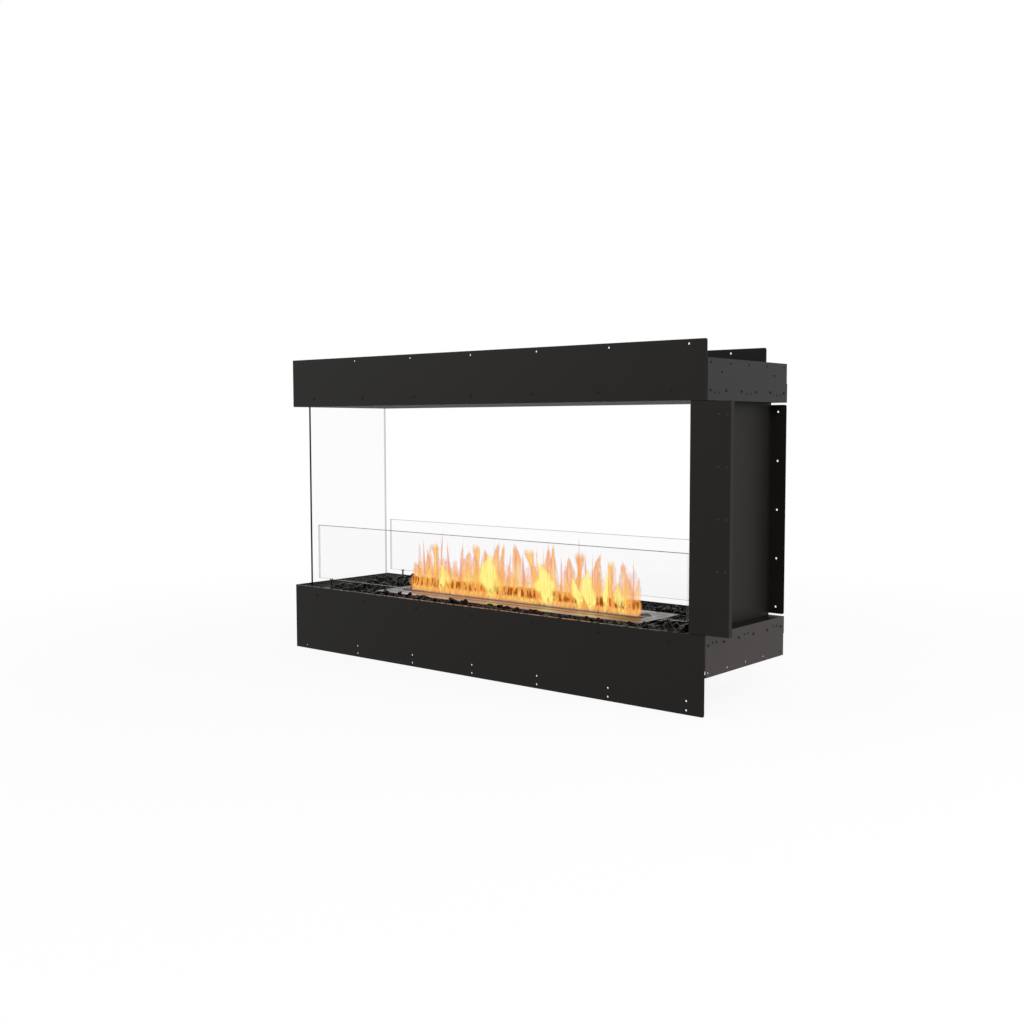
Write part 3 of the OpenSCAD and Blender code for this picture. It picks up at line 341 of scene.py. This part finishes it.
# Crushed black coal: near black with a glassy shine on its chips, and brown-grey patches that are painted
# glints
coalLook = {
    "deep": (0.0016, 0.0014, 0.0012), "paintedGlint": (0.078, 0.071, 0.060), "chip": 0.006, "chipShare": 0.03,
    "paintedGlintPatch": 0.008, "paintedGlintFrom": 0.57, "paintedGlintGain": 9, "paintedGlintShare": 0.75, "crackle": 0.0016,
    "rough": 0.24, "chipRough": 0.2, "paintedGlintRough": 0.4, "shine": 0.1, "relief": 0.5, "depth": 0.0011,
}


def coalFinish(name, look):
    f = newFinish(name)
    chips = f.grain(look["chip"], detail=4)
    # Painted highlight: sharp brown-grey patches stand in for glints on the facets
    paintedGlint = ((f.grain(look["paintedGlintPatch"], detail=4) - look["paintedGlintFrom"]) * look["paintedGlintGain"]).clamped()
    crackle = f.grain(look["crackle"], detail=4)
    glintsAndChipTone = paintedGlint * look["paintedGlintShare"] + chips * look["chipShare"]
    return f.surface({
        "Base Color": f.blend(glintsAndChipTone, look["deep"], look["paintedGlint"]),
        "Roughness": look["rough"] + chips * look["chipRough"] + paintedGlint * look["paintedGlintRough"],
        "Specular IOR Level": look["shine"],
        "Normal": f.bumps(crackle + chips, look["relief"], look["depth"])})


# Flames: the mesh carries how far across, how far up, how hot and how dense each point is.
# Near the burner, but for the hottest tongues, they break up into narrow upright licks with slits between.
# Facing is how far the sheets are turned from the X axis, in degrees.
flameLook = {
    "stops": [(0.0, (0.58, 0.33, 0.40)), (0.14, (0.80, 0.31, 0.27)), (0.34, (0.90, 0.30, 0.07)),
              (0.56, (0.93, 0.42, 0.07)), (0.76, (1.0, 0.64, 0.14)), (1.0, (1.0, 0.92, 0.26))],
    "strength": 1.04, "facing": 39.0, "ember": (0.35, 0.062, 0.003),
    "streak": 0.006, "streakStretch": (1, 1, 0.16), "streakHeat": 0.8, "streakCover": 0.7,
    "middleHeat": 0.5, "middleFrom": 0.6, "edgeGain": 1.35, "tipGain": 7,
    "slit": 0.006, "slitStretch": 0.1, "slitDetail": 1.5, "slitFrom": 0.4, "slitGain": 9, "slitDepth": 0.12,
    "slitPatch": 0.028, "patchGain": 0.8, "slitTop": 0.031, "topRun": 0.004, "slitFoot": 0.0095,
    "footRun": 0.005, "mildBelow": 0.92, "mildGain": 5, "lowChill": 0.12, "lowHeat": 0.36,
}


# How open the slits between the licks are. They change sideways along the facing sheets, hardly with height
def flameSlits(f, look):
    aim = math.radians(look["facing"])
    side = f.node("ShaderNodeVectorMath", {"operation": "DOT_PRODUCT"},
                  {0: f.place(), 1: (math.cos(aim), math.sin(aim), 0)}, out="Value")
    place = f.node("ShaderNodeCombineXYZ", {}, {"X": side, "Y": f.along("Z") * look["slitStretch"]})
    licks = f.node("ShaderNodeTexNoise", {"noise_dimensions": "2D"},
                   {"Vector": place, "Scale": 1 / look["slit"], "Detail": look["slitDetail"]})
    crowded = (f.grain(look["slitPatch"], detail=1) - 0.5) * look["patchGain"]
    return 1 - ((licks - crowded - look["slitFrom"]) * look["slitGain"]).clamped()


def flameFinish(name, look, burnerTop):
    f = newFinish(name)
    shape = f.node("ShaderNodeAttribute", {"attribute_name": "flameShape"}, out="Vector")
    across, up, heat = [f.node("ShaderNodeSeparateXYZ", {}, {0: shape}, out=axis) for axis in "XYZ"]
    veil = f.node("ShaderNodeAttribute", {"attribute_name": "flameVeil"}, out="Fac")
    streaks = f.grain(look["streak"], stretch=look["streakStretch"]) - 0.5
    middle = 1 - across * across
    slits = flameSlits(f, look)
    height = f.along("Z") - burnerTop
    belowTop = ((look["slitTop"] - height) / look["topRun"]).clamped()
    lowDown = belowTop * ((height - look["slitFoot"]) / look["footRun"]).clamped()
    mild = ((look["mildBelow"] - heat) * look["mildGain"]).clamped()
    gaps = slits * lowDown * mild
    hot = heat + (middle - look["middleFrom"]) * look["middleHeat"] + streaks * look["streakHeat"]
    hot = (hot - lowDown * mild * look["lowChill"]).clamped().orMore(lowDown * look["lowHeat"])
    glow = f.node("ShaderNodeValToRGB", {"stops": look["stops"]}, {"Fac": hot})
    cover = (veil * (1 + streaks * look["streakCover"])).clamped() * (middle * look["edgeGain"]).clamped()
    cover = cover * ((1 - up) * look["tipGain"]).clamped() * (1 - gaps * look["slitDepth"])
    return f.surface({
        "Base Color": (0, 0, 0, 1),
        "Roughness": 1.0,
        "Specular IOR Level": 0.0,
        "Emission Color": f.blend(gaps, glow, look["ember"]),
        "Emission Strength": look["strength"],
        "Alpha": cover})


finishes = {
    "black_coat": coatFinish("blackCoat", coatLooks["blackCoat"]),
    # The grey_coat pieces get the black coat painted lighter, as painted light from the right
    "grey_coat": coatFinish("paintedSideLightCoat", coatLooks["paintedSideLightCoat"]),
    "plated_steel": steelFinish("zincPlate", steelLooks["zincPlate"]),
    "brushed_stainless": steelFinish("brushedStainless", steelLooks["brushedStainless"]),
    "fibre_board": fibreFinish("ceramicFibre", fibreLook),
    "seal_rubber": sealFinish("wovenSeal", sealLook),
    "black_coal": coalFinish("crushedCoal", coalLook),
}
ownFinishes = {name: glassFinish(name, glassLooks) for name in glassLooks["edges"]}
# The base fascia's top edge carries a painted highlight and painted firelight
ownFinishes["base_front_fascia"] = coatFinish(
    "paintedRimLightCoat", coatLooks["blackCoat"], paintedRimLightAt=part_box("base_front_fascia")[1].z)
# The sill gets the black coat painted darker, as painted shade
ownFinishes["side_glass_sill"] = coatFinish("deckPaintedShadeCoat", coatLooks["deckPaintedShadeCoat"])
# Painted light on the header's right end panel, weaker than on the base's
ownFinishes["header_right_panel"] = coatFinish("headerPaintedSideLightCoat", coatLooks["headerPaintedSideLightCoat"])
# The soffit gets a painted reflection of the floor, warmed as painted firelight
ownFinishes["header_soffit"] = coatFinish("soffitPaintedGlowCoat", coatLooks["soffitPaintedGlowCoat"])
ownFinishes["burner_top_plate"] = steelFinish(
    "burnerStainless", steelLooks["brushedStainless"], slottedNode="burner_top_plate")
print("finishes made:", len(finishes) + len(ownFinishes))

slotOfNode = {part["node"]: part["material_slot"] for part in frame["record"]["subparts"]}
for name, cadNode in nodes.items():
    cadNode.data.materials.clear()
    cadNode.data.materials.append(ownFinishes[name] if name in ownFinishes else finishes[slotOfNode[name]])
print("finishes put on the CAD nodes")


# Puts one more shape's points and faces behind those already there
def addShape(points, faces, morePoints, moreFaces):
    faces += [tuple(int(v) + len(points) for v in face) for face in moreFaces]
    points += [tuple(p) for p in morePoints]


def addPiece(name, points, faces, finish, body):
    mesh = bpy.data.meshes.new(name)
    mesh.from_pydata([tuple(p) for p in points], [], faces)
    mesh.update()
    mesh.materials.append(finish)
    piece = bpy.data.objects.new(name, mesh)
    bpy.context.scene.collection.objects.link(piece)
    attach(piece, body)
    return piece


# Loose coal: a bumpy bed under two layers of sharp lumps, heaped at both ends. In front of the burner it
# lies a little higher, and its lumps stand less proud. Each kind of lump is the hull of some corners,
# squashed along three axes. Stray is how far a lump lies off an even grid, in steps of the grid.
coalBed = {
    "seed": 11,
    "level": 0.0605, "frontRise": 0.0018, "heaps": (0.009, 0.0135), "heapRun": 0.11, "riseFromEnd": 0.066,
    "bedDrop": 0.010, "bedBumps": (-0.002, 0.003), "cell": 0.012,
    "kinds": 18, "corners": 17, "cornerReach": (0.8, 1.02), "squash": ((0.8, 1.2), (0.7, 1.05), (0.6, 0.95)),
    "spacing": 0.0155, "stray": 0.42, "lumpSize": (0.0075, 0.0128), "lumpReach": 1.12,
    "layers": ({"share": 1.0, "sink": 0.0045, "peaks": False}, {"share": 0.4, "sink": 0.0, "peaks": True}),
    "unevenness": 0.0025, "peakShare": 0.26, "peakRise": (0.003, 0.0058), "frontPeak": 0.35,
    "margin": 0.0015, "frontMoat": 0.004, "postInset": 0.004, "postClear": 0.0075, "postReach": 0.6,
}


def coalLevel(x, y, low, high, wellY, settings):
    fromEnd = min(x - low.x, high.x - x)
    heap = settings["heaps"][x > (low.x + high.x) / 2] * max(0.0, 1 - fromEnd / settings["heapRun"])
    front = settings["frontRise"] if y < wellY[0] and fromEnd > settings["riseFromEnd"] else 0
    return low.z + settings["level"] + heap + front


def makeLumpKinds(settings, chance):
    kinds = []
    for _ in range(settings["kinds"]):
        shell = bmesh.new()
        squash = [chance.uniform(*span) for span in settings["squash"]]
        for _ in range(settings["corners"]):
            aim = Vector([chance.gauss(0, 1) for _ in range(3)]).normalized()
            corner = aim * chance.uniform(*settings["cornerReach"])
            shell.verts.new([corner[i] * squash[i] for i in range(3)])
        hull = bmesh.ops.convex_hull(shell, input=shell.verts)
        inside = [g for g in hull["geom_interior"] if isinstance(g, bmesh.types.BMVert)]
        bmesh.ops.delete(shell, geom=inside, context="VERTS")
        bmesh.ops.recalc_face_normals(shell, faces=shell.faces)
        shell.verts.ensure_lookup_table()
        shell.verts.index_update()
        kinds.append((np.array([v.co for v in shell.verts]),
                      np.array([[v.index for v in face.verts] for face in shell.faces])))
        shell.free()
    return kinds


# A closed block with a flat bottom and a bumpy top
def bedStrip(x0, x1, y0, y1, bottom, topAt, settings, chance):
    cell = settings["cell"]
    countX, countY = max(2, round((x1 - x0) / cell)), max(2, round((y1 - y0) / cell))
    points, faces = [], []
    for i in range(countX + 1):
        for j in range(countY + 1):
            x, y = x0 + (x1 - x0) * i / countX, y0 + (y1 - y0) * j / countY
            points.append((x, y, topAt(x, y) + chance.uniform(*settings["bedBumps"])))
            points.append((x, y, bottom))
    top, under = 0, 1
    at = lambda i, j, k: (i * (countY + 1) + j) * 2 + k
    for i in range(countX):
        for j in range(countY):
            a, b = i + 1, j + 1
            faces.append((at(i, j, top), at(a, j, top), at(a, b, top), at(i, b, top)))
            faces.append((at(i, j, under), at(i, b, under), at(a, b, under), at(a, j, under)))
    for i in range(countX):
        a, end = i + 1, countY
        faces.append((at(i, 0, top), at(i, 0, under), at(a, 0, under), at(a, 0, top)))
        faces.append((at(i, end, top), at(a, end, top), at(a, end, under), at(i, end, under)))
    for j in range(countY):
        b, end = j + 1, countX
        faces.append((at(0, j, top), at(0, b, top), at(0, b, under), at(0, j, under)))
        faces.append((at(end, j, top), at(end, j, under), at(end, b, under), at(end, b, top)))
    return points, faces


# Gives each lump's place, size and layer, clear of the burner's well and of the posts
def lumpPlaces(settings, low, high, wellX, wellY, posts, chance):
    step, stray = settings["spacing"], settings["stray"]
    countX, countY = int((high.x - low.x) / step) + 1, int((high.y - low.y) / step) + 1
    for layer in settings["layers"]:
        for i in range(countX):
            for j in range(countY):
                if chance.random() > layer["share"]:
                    continue
                size = chance.uniform(*settings["lumpSize"])
                x = low.x + (i + 0.5 + chance.uniform(-stray, stray)) * step
                y = low.y + (j + 0.5 + chance.uniform(-stray, stray)) * step
                reach = size * settings["lumpReach"]
                x = min(max(x, low.x + reach), high.x - reach)
                y = min(max(y, low.y + reach), high.y - reach)
                clear = settings["postClear"] + size * settings["postReach"]
                inWell = wellX[0] - reach < x < wellX[1] + reach and wellY[0] - reach < y < wellY[1] + reach
                if not inWell and all(math.hypot(x - px, y - py) >= clear for px, py in posts):
                    yield x, y, size, layer


def layCoal(settings):
    chance = random.Random(settings["seed"])
    low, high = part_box("coal_bed")
    plateLow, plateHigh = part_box("burner_top_plate")
    margin = settings["margin"]
    wellX = plateLow.x - margin, plateHigh.x + margin
    wellY = plateLow.y - settings["frontMoat"], plateHigh.y + margin
    posts = []
    for name in ("front_screen_posts", "back_screen_posts"):
        postLow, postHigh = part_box(name)
        posts += [(x, (postLow.y + postHigh.y) / 2)
                  for x in (postLow.x + settings["postInset"], postHigh.x - settings["postInset"])]

    levelAt = lambda x, y: coalLevel(x, y, low, high, wellY, settings)
    bedAt = lambda x, y: levelAt(x, y) - settings["bedDrop"]
    points, faces = [], []
    for strip in ((low.x, high.x, low.y, wellY[0]), (low.x, high.x, wellY[1], high.y),
                  (low.x, wellX[0], wellY[0], wellY[1]), (wellX[1], high.x, wellY[0], wellY[1])):
        addShape(points, faces, *bedStrip(*strip, low.z, bedAt, settings, chance))

    kinds = makeLumpKinds(settings, chance)
    laid, uneven = 0, settings["unevenness"]
    for x, y, size, layer in lumpPlaces(settings, low, high, wellX, wellY, posts, chance):
        lumpPoints, lumpFaces = kinds[chance.randrange(len(kinds))]
        aim = Vector([chance.gauss(0, 1) for _ in range(3)]).normalized()
        turn = np.array(Vector((0, 0, 1)).rotation_difference(aim).to_matrix())
        lump = lumpPoints @ turn.T * size
        height = levelAt(x, y) - layer["sink"] + chance.uniform(-uneven, uneven) - lump[:, 2].max()
        if layer["peaks"] and chance.random() < settings["peakShare"]:
            height += chance.uniform(*settings["peakRise"]) * (settings["frontPeak"] if y < wellY[0] else 1)
        addShape(points, faces, lump + (x, y, height), lumpFaces)
        laid += 1
    piece = addPiece("coal_lumps", points, faces, finishes["black_coal"], "housing")
    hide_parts("coal_bed")
    print("coal laid:", laid, "lumps")


layCoal(coalBed)

# Flames, in millimetres from the middle of the slot. A kind's profile gives the share of its width at shares
# of its height. Each tall tongue is [kind, foot's place, height, width, how far the tip leans]. Small ones
# stand in bands along the slot. Two crossed sheets make one tongue, and it thickens over feetFade.
millimetre = 0.001
flames = {
    "seed": 5, "sink": 1.5, "reach": 340, "feetFade": 14, "phases": (0, 6.28),
    "kinds": {
        "leaf": {"group": "flame_tongues", "depth": (-10, 9), "heat": 0.55, "flicker": 0.05, "cover": 0.84,
                 "swell": 1.38, "sway": 0.13, "notch": 0, "feetChill": 0.17, "tipChill": 0.7, "tipFade": 0.1,
                 "thinAloft": 0.32, "profile": [(0, 0.6), (0.3, 1.0), (0.6, 0.74), (0.84, 0.36), (1, 0.02)]},
        "spike": {"group": "flame_spikes", "depth": (-10, 9), "heat": 0.14, "flicker": 0.05, "cover": 0.76,
                  "swell": 1.3, "sway": 0.13, "notch": 0, "feetChill": 0.17, "tipChill": 0.2, "tipFade": 0.1,
                  "thinAloft": 0.0, "profile": [(0, 0.9), (0.2, 1.0), (0.6, 0.5), (1, 0.06)]},
        "club": {"group": "flame_tongues", "depth": (-10, 9), "heat": 0.48, "flicker": 0.05, "cover": 0.86,
                 "swell": 1.2, "sway": 0.13, "notch": 7, "feetChill": 0.17, "tipChill": 0.1, "tipFade": 0.0,
                 "thinAloft": 0.0, "profile": [(0, 0.7), (0.25, 1.0), (0.6, 0.6), (0.88, 1.0), (1, 0.72)]},
        "core": {"group": "flame_cores", "depth": (-15, -11), "heat": 1.0, "flicker": 0.0, "cover": 0.95,
                 "swell": 1.75, "sway": 0.22, "notch": 0, "feetChill": 0.03, "tipChill": 0.5,
                 "tipFade": 0.15, "thinAloft": 0.04,
                 "profile": [(0, 0.36), (0.22, 0.72), (0.44, 1.0), (0.62, 0.74), (0.84, 0.3), (1, 0.02)]},
    },
    "tongues": [
        ["leaf", -329, 71, 25, 1], ["spike", -300, 129, 8, 0], ["leaf", -315, 69, 13, -1],
        ["leaf", -281, 98, 15, -3], ["club", -254, 124, 16, -8], ["spike", -240, 159, 7, 5],
        ["core", -231, 75, 20, -6], ["spike", -212, 127, 9, -7], ["leaf", -194, 79, 18, -1],
        ["spike", -179, 136, 7, 9], ["leaf", -153, 109, 31, 0], ["club", -123, 129, 16, -5],
        ["leaf", -97, 118, 21, -3], ["core", -70, 112, 36, -18], ["leaf", -70, 137, 22, 12],
        ["leaf", -60, 134, 15, 15], ["leaf", -46, 93, 17, 2], ["spike", -30, 113, 10, 7],
        ["leaf", -3, 137, 29, -4], ["spike", 19, 117, 9, -2], ["club", 59, 129, 20, -20],
        ["core", 97, 104, 32, -36], ["spike", 88, 155, 4, 3], ["leaf", 77, 136, 21, 14],
        ["leaf", 108, 142, 17, -5], ["spike", 126, 116, 7, 2], ["leaf", 147, 116, 25, 4],
        ["spike", 177, 170, 5, 0], ["club", 175, 130, 19, 2], ["spike", 196, 131, 6, -1],
        ["core", 211, 96, 23, -14], ["core", 180, 75, 16, -17], ["leaf", 216, 128, 20, 18],
        ["leaf", 229, 90, 13, 2], ["core", 248, 94, 8, 1], ["club", 264, 116, 15, -3],
        ["leaf", 304, 115, 25, -5], ["core", 288, 67, 16, -5], ["spike", 323, 118, 6, -1],
        ["leaf", 334, 86, 14, -1],
    ],
    "bands": {
        "middle": {"count": 62, "height": (60, 102), "width": (18, 30), "heat": (0.44, 0.7), "cover": 0.44,
                   "feetFade": 30, "depth": (-12, 9)},
        "low": {"count": 116, "height": (20, 38), "width": (7, 13), "heat": (0.5, 0.95), "cover": 0.74,
                "feetFade": 10, "depth": (-16, 9)},
        "front": {"count": 112, "height": (12, 30), "width": (5, 10), "heat": (0.4, 0.72), "cover": 0.6,
                  "feetFade": 2, "depth": (-18.5, -15)},
        "wisp": {"count": 26, "height": (88, 124), "width": (8, 14), "heat": (0.25, 0.42), "cover": 0.45,
                 "feetFade": 30, "depth": (-12, 9)},
    },
    "bandKind": "leaf", "bandInset": 0.6, "bandLean": 5, "bandTurn": 25,
    "sheet": {"rows": 24, "columns": 6, "leanPower": 1.5, "swayWaves": 5.5, "swayRise": 3, "ripple": 0.1,
              "rippleWaves": 15, "belly": 0.18, "notchFrom": 0.8, "notchRun": 0.2, "chillBelow": 28,
              "tipFrom": 0.45, "fadeFrom": 0.5, "footCover": 0.3,
              "thinFrom": 28, "thinRise": 5, "thinTo": 96, "thinFall": 28},
}


def heldToUnit(value):
    return min(1, max(0, value))


# Share of the full width at a share of the height, eased from one stop of the profile to the next
def widthAt(profile, up):
    for (lowUp, lowWide), (highUp, highWide) in zip(profile, profile[1:]):
        if up <= highUp:
            t = (up - lowUp) / (highUp - lowUp)
            return lowWide + (highWide - lowWide) * t * t * (3 - 2 * t)
    return profile[-1][1]


# Every tongue with its chances drawn: the tall ones, then the bands of small ones
def drawTongues(settings, chance):
    tongues = []
    for kind, along, height, width, lean in settings["tongues"]:
        style = settings["kinds"][kind]
        tongues.append({
            "group": style["group"], "style": style, "along": along, "height": height, "width": width,
            "lean": lean, "heat": style["heat"] + chance.uniform(-style["flicker"], style["flicker"]),
            "cover": style["cover"], "feetFade": settings["feetFade"], "turn": 0,
            "depth": chance.uniform(*style["depth"]), "phase": chance.uniform(*settings["phases"])})
    lean, turn = settings["bandLean"], settings["bandTurn"]
    for name, band in settings["bands"].items():
        for k in range(band["count"]):
            width = chance.uniform(*band["width"])
            room = settings["reach"] - width * settings["bandInset"]
            tongues.append({
                "group": "flame_" + name + "_band", "style": settings["kinds"][settings["bandKind"]],
                "along": room * (2 * (k + chance.uniform(0, 1)) / band["count"] - 1),
                "height": chance.uniform(*band["height"]), "width": width,
                "lean": chance.uniform(-lean, lean), "heat": chance.uniform(*band["heat"]),
                "cover": band["cover"], "feetFade": band["feetFade"], "turn": chance.uniform(-turn, turn),
                "depth": chance.uniform(*band["depth"]), "phase": chance.uniform(*settings["phases"])})
    return tongues


# One sheet of a tongue, turned about its foot. Besides points and faces it gives what the flame finish
# reads: how far across, how far up and how hot each point is, and how dense.
# Between thinFrom and thinTo the leaves, and the cores a little, are thinner.
def tongueSheet(tongue, foot, turn, sheet):
    style, rows, columns = tongue["style"], sheet["rows"], sheet["columns"]
    phase, width = tongue["phase"], tongue["width"]
    aim = math.radians(turn)
    points, faces, shape, veil = [], [], [], []
    for i in range(rows + 1):
        up = i / rows
        level = up * tongue["height"]
        sway = width * style["sway"] * math.sin(phase + up * sheet["swayWaves"])
        middle = tongue["lean"] * up ** sheet["leanPower"] + sway * min(1, up * sheet["swayRise"])
        half = width / 2 * style["swell"] * widthAt(style["profile"], up)
        half *= 1 + sheet["ripple"] * math.sin(phase * 2 + up * sheet["rippleWaves"])
        feetChill = style["feetChill"] * max(0, 1 - level / sheet["chillBelow"])
        warmth = tongue["heat"] - feetChill - style["tipChill"] * max(0, up - sheet["tipFrom"])
        thinBelow = heldToUnit((sheet["thinTo"] - level) / sheet["thinFall"])
        thin = heldToUnit((level - sheet["thinFrom"]) / sheet["thinRise"]) * thinBelow
        density = tongue["cover"] * (1 - style["thinAloft"] * thin)
        density *= min(1, sheet["footCover"] + level / tongue["feetFade"])
        density *= 1 - style["tipFade"] * max(0, up - sheet["fadeFrom"]) / (1 - sheet["fadeFrom"])
        for j in range(columns + 1):
            across = j / columns * 2 - 1
            side = middle + half * across
            belly = sheet["belly"] * half * (1 - across * across)
            dip = style["notch"] * (1 - abs(across)) * max(0, up - sheet["notchFrom"]) / sheet["notchRun"]
            points.append((foot[0] + side * math.cos(aim) - belly * math.sin(aim),
                           foot[1] + side * math.sin(aim) + belly * math.cos(aim), level - dip))
            shape.append((across, up, warmth))
            veil.append(density)
    for i in range(rows):
        for j in range(columns):
            a = i * (columns + 1) + j
            faces.append((a, a + 1, a + columns + 2, a + columns + 1))
    return points, faces, shape, veil


def lightFlames(settings):
    chance = random.Random(settings["seed"])
    plateLow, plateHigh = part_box("burner_top_plate")
    middleX, middleY = (plateLow.x + plateHigh.x) / 2, (plateLow.y + plateHigh.y) / 2
    facing = flameLook["facing"]
    shift = math.tan(math.radians(facing))
    groups = {}
    for tongue in drawTongues(settings, chance):
        # A tongue set back is shifted along the slot too, so that it keeps its place in the main view
        foot = tongue["along"] - tongue["depth"] * shift, tongue["depth"]
        sheets = groups.setdefault(tongue["group"], [])
        for turn in (facing + tongue["turn"], facing + 90):
            sheets.append(tongueSheet(tongue, foot, turn, settings["sheet"]))

    finish = flameFinish("flame", flameLook, plateHigh.z)
    base = plateHigh.z - settings["sink"] * millimetre
    for name, sheets in groups.items():
        points, faces, shape, veil = [], [], [], []
        for sheetPoints, sheetFaces, sheetShape, sheetVeil in sheets:
            addShape(points, faces, sheetPoints, sheetFaces)
            shape += sheetShape
            veil += sheetVeil
        placed = np.array(points) * millimetre + (middleX, middleY, base)
        piece = addPiece(name, placed, faces, finish, "burner")
        attributes = piece.data.attributes
        attributes.new("flameShape", "FLOAT_VECTOR", "POINT").data.foreach_set(
            "vector", np.array(shape, np.float32).ravel())
        attributes.new("flameVeil", "FLOAT", "POINT").data.foreach_set("value", np.array(veil, np.float32))
        piece.data.shade_smooth()
        piece.visible_shadow = False
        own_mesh(piece)
    print("flames lit:", sum(len(sheets) for sheets in groups.values()), "sheets")


lightFlames(flames)

# Studio: a pale floor that fades into a white surround, an even sky and soft lamps
studio = {
    "sky": 0.5,
    "floorReach": 30,
    "floorColour": (0.9, 0.9, 0.9),
    "floorGlow": 0.9,
    "fadeFrom": 0.9,
    "fadeRun": 1.2,
    "lamps": {
        "keyFromFrontRight": {"at": (2.6, -2.4, 2.2), "aim": (0.0, 0.0, 0.35), "size": 2.2, "power": 60},
        "fillFromFrontLeft": {"at": (-2.4, -2.6, 1.8), "aim": (0.0, 0.0, 0.35), "size": 2.4, "power": 22},
        "sideFromRight": {"at": (3.2, 0.6, 1.2), "aim": (0.5, 0.0, 0.4), "size": 1.6, "power": 38},
    },
}


# 1 for rays that look at the studio, straight, by reflection or through glass, and 0 for those that light it
def whiteRays(f):
    camera, glossy, through = [f.node("ShaderNodeLightPath", out=ray)
                               for ray in ("Is Camera Ray", "Is Glossy Ray", "Is Transmission Ray")]
    return camera.orMore(glossy).orMore(through)


def setSky(settings):
    world = bpy.data.worlds.new("studioSky")
    bpy.context.scene.world = world
    f = Finish(world)
    strength = whiteRays(f) * (1 - settings["sky"]) + settings["sky"]
    f.end(f.node("ShaderNodeBackground", {}, {"Color": (1, 1, 1, 1), "Strength": strength}),
          "ShaderNodeOutputWorld")


def layFloor(settings):
    f = newFinish("studioFloor")
    away = f.node("ShaderNodeVectorMath", {"operation": "LENGTH"}, {0: f.place()}, out="Value")
    fade = ((away - settings["fadeFrom"]) / settings["fadeRun"]).clamped()
    glow = whiteRays(f) * (settings["floorGlow"] + fade * (1 - settings["floorGlow"]))
    lit = f.node("ShaderNodeBsdfDiffuse", {}, {"Color": (*settings["floorColour"], 1)})
    white = f.node("ShaderNodeEmission", {}, {"Color": (1, 1, 1, 1), "Strength": 1})
    f.end(f.node("ShaderNodeMixShader", {}, {0: glow, 1: lit, 2: white}))
    reach = settings["floorReach"]
    mesh = bpy.data.meshes.new("floor")
    mesh.from_pydata([(-reach, -reach, 0), (reach, -reach, 0), (reach, reach, 0), (-reach, reach, 0)],
                     [], [(0, 1, 2, 3)])
    mesh.materials.append(f.owner)
    floor = bpy.data.objects.new("floor", mesh)
    bpy.context.scene.collection.objects.link(floor)


def hangLamps(lamps):
    for name, lamp in lamps.items():
        data = bpy.data.lights.new(name, "AREA")
        data.shape = "DISK"
        data.size = lamp["size"]
        data.energy = lamp["power"]
        light = bpy.data.objects.new(name, data)
        light.location = lamp["at"]
        towards = Vector(lamp["aim"]) - Vector(lamp["at"])
        light.rotation_euler = towards.to_track_quat("-Z", "Y").to_euler()
        bpy.context.scene.collection.objects.link(light)


setSky(studio)
layFloor(studio)
hangLamps(studio["lamps"])
print("studio set")

# The camera of the photo: its angles are in degrees, its lens and sensor in millimetres
camera = {
    "at": (1.73985, -2.06685, 0.5444), "yaw": 39.056, "down": 4.017,
    "lens": 42.136, "sensor": 36, "shift": (-0.0347, 0.0002), "clip": (0.05, 100),
}


def setCamera(settings):
    data = bpy.data.cameras.new("photoCamera")
    data.sensor_width = settings["sensor"]
    data.lens = settings["lens"]
    data.shift_x, data.shift_y = settings["shift"]
    data.clip_start, data.clip_end = settings["clip"]
    photoCamera = bpy.data.objects.new("photoCamera", data)
    photoCamera.location = settings["at"]
    photoCamera.rotation_euler = (math.radians(90 - settings["down"]), 0, math.radians(settings["yaw"]))
    bpy.context.scene.collection.objects.link(photoCamera)
    bpy.context.scene.camera = photoCamera


setCamera(camera)
bpy.context.scene.view_settings.view_transform = "Standard"
# The flames are many clear sheets, one behind the other
bpy.context.scene.cycles.transparent_max_bounces = 40
print("camera set")
